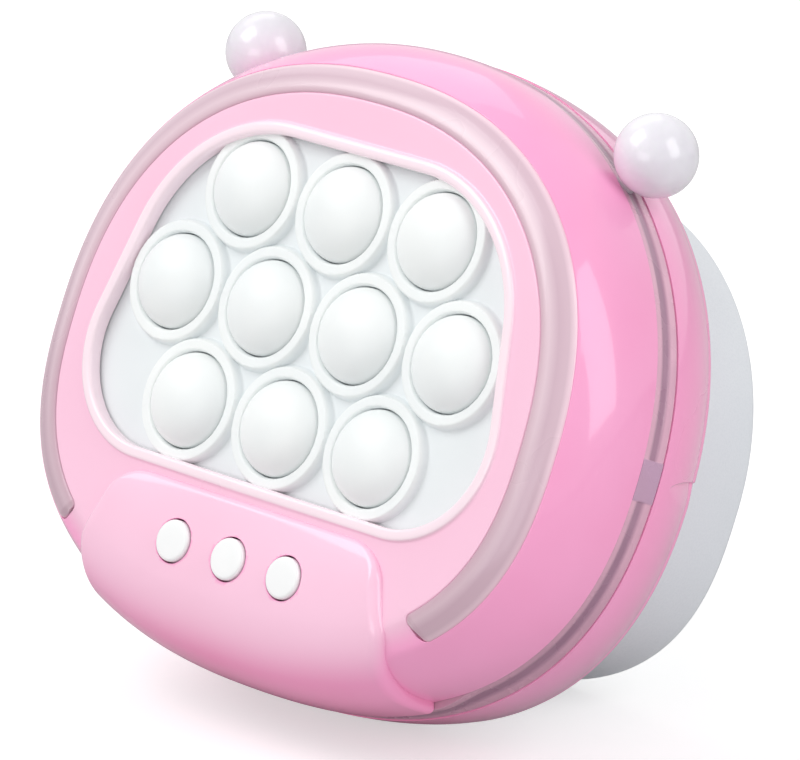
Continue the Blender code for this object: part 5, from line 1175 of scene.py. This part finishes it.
def make_cup():
    """Flange, straight wall and a quarter circle into the back, from rays, then hollowed."""
    turns = ring_turns(360)
    inner = reach(superellipse(COVER, COVER_WALL), turns)
    wall = reach(superellipse(COVER), turns)
    flange = reach(superellipse(REAR_EDGE, FLANGE_IN), turns)
    corners = [(level(inner, FLANGE_FRONT_Y), 0.0), (level(flange, FLANGE_FRONT_Y), 0.3)]
    corners += [(level(flange, FLANGE_BACK_Y), 0.3), (level(wall, FLANGE_BACK_Y), 0.0)]
    start = COVER_Y - COVER_ROUND
    corners += [(level(wall, depth), 0.0) for depth in (35.5, 42.0, 50.0, 58.0, start)]
    for turn in np.radians(np.arange(10.0, 91.0, 10.0)):
        outline = superellipse(COVER, COVER_ROUND * (1.0 - math.cos(turn)))
        corners.append((level(reach(outline, turns), start + COVER_ROUND * math.sin(turn)), 0.0))
    corners += [(level(wall * 0.85, COVER_Y), 0.0)]
    cup = surface("white_rear_cover", spun_out(rounded_section(corners), turns), ends=True)
    hollow = np.array([level(inner, 31.0), level(inner, COVER_IN_Y)])
    return cut(cup, [surface("cutter", spun_out(hollow, turns), ends=True)])


def grille_holes():
    """Round cutters on a hexagon: rows of three, four, five, four and three."""
    holes = []
    for row in range(-2, 3):
        for column in range(5 - abs(row)):
            x = GRILLE_STEP * (column - (4 - abs(row)) / 2.0)
            z = SPEAKER_Z + row * GRILLE_STEP * math.sqrt(0.75)
            holes.append(rod(GRILLE_RADIUS, (x, z), 61.0, 66.0, 24))
    return holes


def make_cover():
    """The cup with tray, ledge, posts and speaker seat joined, and all openings cut."""
    cup = make_cup()
    tray = box((-25.3, 50.1, -39.4), (25.3, 63.8, -3.6))
    ledge = box((-PIN_END, 61.1, -41.7), (PIN_END, 63.2, 3.7))
    post = box((-2.5, 55.4, -4.3), (2.5, 60.7, 1.7))
    seat = spun([(13.8, 58.6), (15.0, 58.6), (15.0, 63.8), (13.8, 63.8)], (0.0, SPEAKER_Z), 64)
    cut(cup, [tray, ledge, post, surface("seat", seat, wrap_rows=True)], "UNION")
    cut(cup, [rod(3.0, place, 19.7, 33.7, 40) for place in CASE_SCREWS], "UNION")
    cutters = [box((-26.6, 62.7, -40.5), (26.6, 66.0, 2.5))]
    cutters += [box((-23.9, 51.5, -38.0), (23.9, DOOR_IN_Y, -5.0))]
    cutters += [rod(3.2, DOOR_SCREW, 60.7, DOOR_IN_Y, 32)]
    cutters += [rod(DRILLED, DOOR_SCREW, 56.4, COVER_IN_Y, 32)]
    cutters += [bar_across(0.8, PIN_END, (HINGE_DEPTH, HINGE_HEIGHT), 24)]
    cutters += [rod(DRILLED, place, 18.0, 35.0, 32) for place in CASE_SCREWS]
    return cut(cup, cutters + grille_holes())


dress(make_cover(), "case", "cover_white", COVER_WHITE, "rear_cover")

# %% [markdown]
# ## Battery door
#
# The door closes the tray of the cells. It is a flat plate with rounded rims that swings on two
# pins at its lower edge, and a screw holds it at the top. A flat-sided edge would scrape the
# cover when it turns, so a round bar about the hinge's axis is joined to the plate. Four round
# bars laid across cut the finger grips.

# %% Battery door
DOOR_HALF, DOOR_TOP, DOOR_RIM = 26.3, 2.1, 0.5


def make_door():
    """Plate on a round hinge edge with two pins, a boss and sunk seat for the screw, and grips."""
    sides, heights = (DOOR_HALF, -DOOR_HALF), (DOOR_TOP, HINGE_HEIGHT)
    spots = [math.atan2(z - RAY_Z, x) for x in sides for z in heights]
    turns = ring_turns(240, [(spot, 0.05, 24) for spot in spots])

    def plate(inset, depth):
        side, high, low = DOOR_HALF - inset, DOOR_TOP - inset, HINGE_HEIGHT + inset * 0.2
        corners = [(side, high), (-side, high), (-side, low), (side, low)]
        line = rounded_corners(corners, (1.5 - inset, 1.5 - inset, 0.3, 0.3))
        return level(reach(line, turns), depth)

    rows = [plate(0.2, DOOR_IN_Y), plate(0.0, DOOR_IN_Y + 0.2)]
    for turn in np.radians((0.0, 30.0, 60.0, 90.0)):
        depth = COVER_Y - DOOR_RIM + DOOR_RIM * math.sin(turn)
        rows.append(plate(DOOR_RIM * (1.0 - math.cos(turn)), depth))
    rows.append(plate(1.2, COVER_Y))
    door = surface("white_battery_door", spun_out(np.array(rows), turns), ends=True)
    hinge_edge = bar_across(0.99, DOOR_HALF - 0.1, (HINGE_DEPTH, HINGE_HEIGHT), 40)
    pins = bar_across(0.5, PIN_END, (HINGE_DEPTH, HINGE_HEIGHT), 24)
    cut(door, [hinge_edge, pins, rod(2.5, DOOR_SCREW, 61.0, DOOR_IN_Y + 0.3, 48)], "UNION")
    cutters = [rod(2.3, DOOR_SCREW, 63.35, 66.0, 48), rod(1.3, DOOR_SCREW, 60.0, 64.0, 32)]
    grip_heights = [-6.0 - 2.4 * step for step in range(4)]
    cutters += [bar_across(1.3, 8.0, (COVER_Y + 0.9, z), 48) for z in grip_heights]
    return cut(door, cutters, sharp=30.0)


dress(make_door(), "door", "cover_white", COVER_WHITE, "battery_door")

# %% [markdown]
# ## Screws, cells and the parts inside
#
# The screws that show have a cross recess. A recess could be cut with a Boolean, but the head
# is a small height field over rings and rays, and the cross is two soft slots in that height.
# Cells have a plain two-tone jacket. Boards get solder mask with traces, and everything else
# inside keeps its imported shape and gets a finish.

# %% Metal, resin and paint
# Plated steel: fine uneven brightness and shallow turning marks.
STEEL = clouded(
    "plated_steel",
    noise=(700.0, 3.0),
    span=(0.3, 0.7),
    tones=((176, 177, 180), (200, 200, 202)),
    rough=(0.14, 0.24),
    skin=(5000.0, 0.3),
    constants={"Metallic": 1.0},
)
# Warm nickel plate with dull patches where fingers and cells have touched it.
CONTACT = clouded(
    "nickel_contact",
    noise=(420.0, 3.0),
    span=(0.45, 0.7),
    tones=((205, 200, 188), (176, 168, 150)),
    rough=(0.2, 0.22),
    skin=(2800.0, 0.25),
    constants={"Metallic": 1.0},
)
# Clear lamp resin with a few trapped bubbles.
CLEAR = clouded(
    "clear_lamp_resin",
    noise=(2600.0, 1.0),
    span=(0.62, 0.7),
    tones=((242, 242, 240), (226, 228, 230)),
    rough=(0.2, 0.06),
    skin=(2000.0, 0.1),
    constants={"Transmission Weight": 0.6, "IOR": 1.5},
)


def speaker_recipe(graph, place):
    """Black painted frame and magnet with a fine orange peel."""
    fine = place.noise(1800.0, 2.0)
    return {
        "Base Color": fine.between(0.3, 0.7).mix(colour(46, 46, 49), colour(62, 62, 66)),
        "Metallic": 0.4,
        "Roughness": fine * 0.2 + 0.32,
        "Normal": grain(place, 1800.0, 0.4),
    }


SPEAKER = finish("black_speaker_paint", speaker_recipe)

# %% Boards and cell jackets
RUNS_PER_MM = 0.42


def board_recipe(graph, place):
    """Green solder mask over copper: pads where a cell's distance is small, and runs.

    A run is where the fraction of x (or z) * runs per mm is near 1/2; noise picks x or z.
    """
    across, high = place.along(RIGHT), place.along(UP)
    flat = graph.add("CombineXYZ", {0: across, 1: high, 2: 0.0})
    cells = graph.add(
        "TexVoronoi", {"Vector": flat, "Scale": 0.32, "Randomness": 0.25}, feature="F1"
    )
    pads = 1.0 - cells.between(0.12, 0.16)
    choose = flat.noise(0.09, 1.0).between(0.48, 0.52)

    def run(distance):
        off_middle = graph.math("ABSOLUTE", graph.math("FRACT", distance * RUNS_PER_MM) - 0.5)
        return 1.0 - off_middle.between(0.12, 0.17)

    runs = choose * run(across) + (1.0 - choose) * run(high)
    body = (runs * 0.6).mix(colour(22, 98, 56), colour(44, 132, 78))
    return {
        "Base Color": pads.mix(body, colour(196, 178, 120)),
        "Metallic": pads * 0.9,
        "Roughness": 0.42 - runs * 0.1,
        "Normal": bump(runs * 0.5 + pads * 0.3, 0.5, 0.00004),
    }


BOARD = finish("green_circuit_board", board_recipe)


def jacket_recipe(graph, place):
    """Plain two-tone cell jacket: slate body, grey band at one end, steel at both tips."""
    along = graph.math("ABSOLUTE", place.along(RIGHT))
    band = along.between(14.0, 14.3)
    tip = along.between(21.0, 21.1)
    foil = place.noise(900.0, 2.0)
    body = band.mix(colour(58, 72, 92), colour(186, 190, 196))
    return {
        "Base Color": tip.mix(body, colour(196, 196, 198)),
        "Metallic": tip * 0.6 + 0.35,
        "Roughness": foil * 0.12 + 0.24,
        "Normal": grain(place, 1500.0, 0.2),
    }


JACKET = finish("two_tone_jacket", jacket_recipe)


# %% Screws with a cross recess
SLOT_HALF, SLOT_DEEP, SCREW_RAYS = 0.16, 0.62, 96


def make_screw(name, at, radius, seat, thick, shank, end):
    """Rings and rays: a domed head whose height drops where |x| or |z| is in a slot."""
    turn = np.linspace(0.0, 2.0 * math.pi, SCREW_RAYS, endpoint=False)
    rings = np.concatenate([[0.004], np.linspace(0.05, 0.98, 26), [1.0]]) * radius
    x, z = rings[:, None] * np.cos(turn), rings[:, None] * np.sin(turn)
    dome = seat + thick - 0.18 * (rings[:, None] / radius) ** 2 * np.ones_like(x)
    dome[-1] -= 0.15
    arm = radius * 0.62

    def slot(along, across):
        inside = 1 - smoothstep(np.abs(across), SLOT_HALF, 0.3)
        return inside * (1 - smoothstep(np.abs(along), arm, arm + 0.25))

    depth = dome - SLOT_DEEP * np.maximum(slot(x, z), slot(z, x))
    head = np.stack([at[0] + x, depth, at[1] + z], 2)
    tail = [(radius, seat), (shank, seat), (shank, end + 0.4), (shank - 0.3, end)]
    grid = np.concatenate([head, spun(tail, at, SCREW_RAYS)])
    return surface(name, grid, ends=True)


for number, place in enumerate(CASE_SCREWS, 1):
    screw = make_screw(f"steel_case_screw_{number}", place, 2.5, 36.1, 1.3, 1.5, 9.0)
    dress(screw, "case", "screw_steel", STEEL, f"case_screw_{number}")
door_screw = make_screw("steel_door_screw", DOOR_SCREW, 2.0, 63.4, 1.3, 1.1, 57.4)
dress(door_screw, "door", "screw_steel", STEEL, "door_screw")

# %% Cells
CELL_MID, CELL_Y, CELL_STEP = -21.5, 57.1, 10.9


def make_cell(number):
    """A rounded can with its nub, turned about an axis across; the middle one is reversed."""
    height = CELL_MID + CELL_STEP * (2 - number)
    way = 1.0 if number != 2 else -1.0
    profile = [(0.0, -22.25), (4.6, -22.25), (4.75, -22.15), (4.8, -21.8), (5.1, -21.75)]
    profile += [(5.25, -21.6), (5.25, 20.8), (5.1, 20.95), (4.8, 21.0), (4.7, 21.2), (2.1, 21.25)]
    profile += [(1.9, 21.4), (1.9, 22.1), (1.75, 22.25), (0.0, 22.25)]
    grid = spun_across(np.array(profile) * (1.0, way), (CELL_Y, height), 56)
    return surface(f"jacketed_cell_{number}", grid, ends=True, sharp=40.0)


for number in (1, 2, 3):
    dress(make_cell(number), "case", "cell_jacket", JACKET, f"battery_{number}")

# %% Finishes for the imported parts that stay
STAYING = {
    "key_deck": WHITE,
    "main_board": BOARD,
    "button_board": BOARD,
    "lamp_board_": BOARD,
    "ear_led_": CLEAR,
    "speaker": SPEAKER,
    "plunger_": MILKY,
    "contact_": CONTACT,
    "board_screw_": STEEL,
    "button_screw_": STEEL,
}
for name, item in frame["nodes"].items():
    for start, material in STAYING.items():
        if name.startswith(start):
            item.data.materials.clear()
            item.data.materials.append(material)
            print(f"{name}: {material.name}")

# %% [markdown]
# ## Table, light and camera
#
# The game stands on a white table in soft light. The table is one large sheet whose colour is
# close to white, so the shadow stays and everything else melts into the background. Camera rays
# see a little extra glow there, which puts no light on the object. Brighter lamps would also
# whiten the table, but they would wash out the pink. A large lamp stands upper left, a weaker
# one behind it brightens the top edge, a low one in front lifts the belly, and a tall narrow
# one gives the soft reflection on the right side. The world fills in.

# %% Table
BLACK, LAMP_WHITE = (0.0, 0.0, 0.0, 1.0), (1.0, 1.0, 1.0, 1.0)
CAMERA_WHITE, GLOW, TABLE_HALF = (0.66, 0.66, 0.66, 1.0), 0.52, 6.0


def table_recipe(graph, place):
    """Near-white satin sheet; only the camera sees the small extra glow."""
    seen = graph.add("LightPath", out="Is Camera Ray")
    tone = place.noise(3.0, 2.0).between(0.3, 0.7)
    body = tone.mix(colour(200, 200, 200), colour(204, 204, 204))
    return {
        "Base Color": seen.mix(body, CAMERA_WHITE),
        "Roughness": 0.8,
        "Emission Color": seen.mix(BLACK, LAMP_WHITE),
        "Emission Strength": GLOW,
    }


square = ((-1.0, -1.0), (1.0, -1.0), (1.0, 1.0), (-1.0, 1.0))
table_corners = [(TABLE_HALF * x, TABLE_HALF * y, 0.0) for x, y in square]
table_mesh = bpy.data.meshes.new("white_table")
table_mesh.from_pydata(table_corners, [], [(0, 1, 2, 3)])
table_mesh.materials.append(finish("white_table", table_recipe))
table = bpy.data.objects.new("white_table", table_mesh)
bpy.context.scene.collection.objects.link(table)

# %% World
FILL_LIGHT = 0.46
world = bpy.data.worlds.new("white_room")
world.use_nodes = True
bpy.context.scene.world = world
room = Wire(world.node_tree)
seen = room.add("LightPath", out="Is Camera Ray")
for kind in ("Is Glossy Ray", "Is Transmission Ray"):
    seen = room.math("MAXIMUM", seen, room.add("LightPath", out=kind))
background = world.node_tree.nodes["Background"]
background.inputs["Color"].default_value = LAMP_WHITE
strength = seen * (1.0 - FILL_LIGHT) + FILL_LIGHT
room.tree.links.new(strength.output, background.inputs["Strength"])
print("world: 1 where it is seen,", FILL_LIGHT, "where it lights the game")


# %% Lamps
def soft_lamp(name, at, aim, width, height, watts):
    """Rectangular lamp at a place, turned to face a point."""
    lamp = bpy.data.lights.new(name, "AREA")
    lamp.shape = "RECTANGLE"
    lamp.size, lamp.size_y, lamp.energy = width, height, watts
    item = bpy.data.objects.new(name, lamp)
    item.location = at
    way = np.array(aim) - np.array(at)
    yaw, pitch = math.atan2(way[0], -way[1]), math.atan2(np.hypot(way[0], way[1]), -way[2])
    item.rotation_euler = (pitch, 0.0, math.pi + yaw)
    bpy.context.scene.collection.objects.link(item)
    print(f"{name}: {watts} watts")


MIDDLE = (0.0, 0.0, 0.055)
soft_lamp("key_upper_left", (-0.65, -0.75, 1.15), MIDDLE, 0.9, 0.9, 10.2)
soft_lamp("back_upper_left", (-0.8, 0.42, 0.95), MIDDLE, 1.1, 0.6, 2.0)
soft_lamp("front_low", (0.2, -1.2, 0.34), MIDDLE, 0.7, 0.4, 1.8)
soft_lamp("tall_right", (0.94, 0.105, 0.61), MIDDLE, 0.52, 0.9, 4.9)

# %% Camera
# Its place in metres, the way it looks, and the picture's upward way.
CAMERA_AT, LENS, SENSOR = (0.7211171, -0.7534585, 0.3980849), 297.564, 36.0
camera_data = bpy.data.cameras.new("portrait")
camera_data.lens, camera_data.sensor_width = LENS, SENSOR
camera_data.clip_start, camera_data.clip_end = 0.05, 30.0
camera = bpy.data.objects.new("portrait", camera_data)
ahead = np.array((-0.65877713, 0.6835549, -0.31426962))
upright = np.array((-0.22086223, 0.22360392, 0.94932669))
aside = np.cross(ahead, upright)
turn = np.stack([aside, upright, -ahead], 1).tolist()
camera.matrix_world = Matrix.LocRotScale(CAMERA_AT, Matrix(turn), None)
bpy.context.scene.collection.objects.link(camera)
bpy.context.scene.camera = camera
bpy.context.scene.view_settings.view_transform = "Standard"
print("camera:", round(math.dist(CAMERA_AT, MIDDLE), 3), "metres from the game's middle")
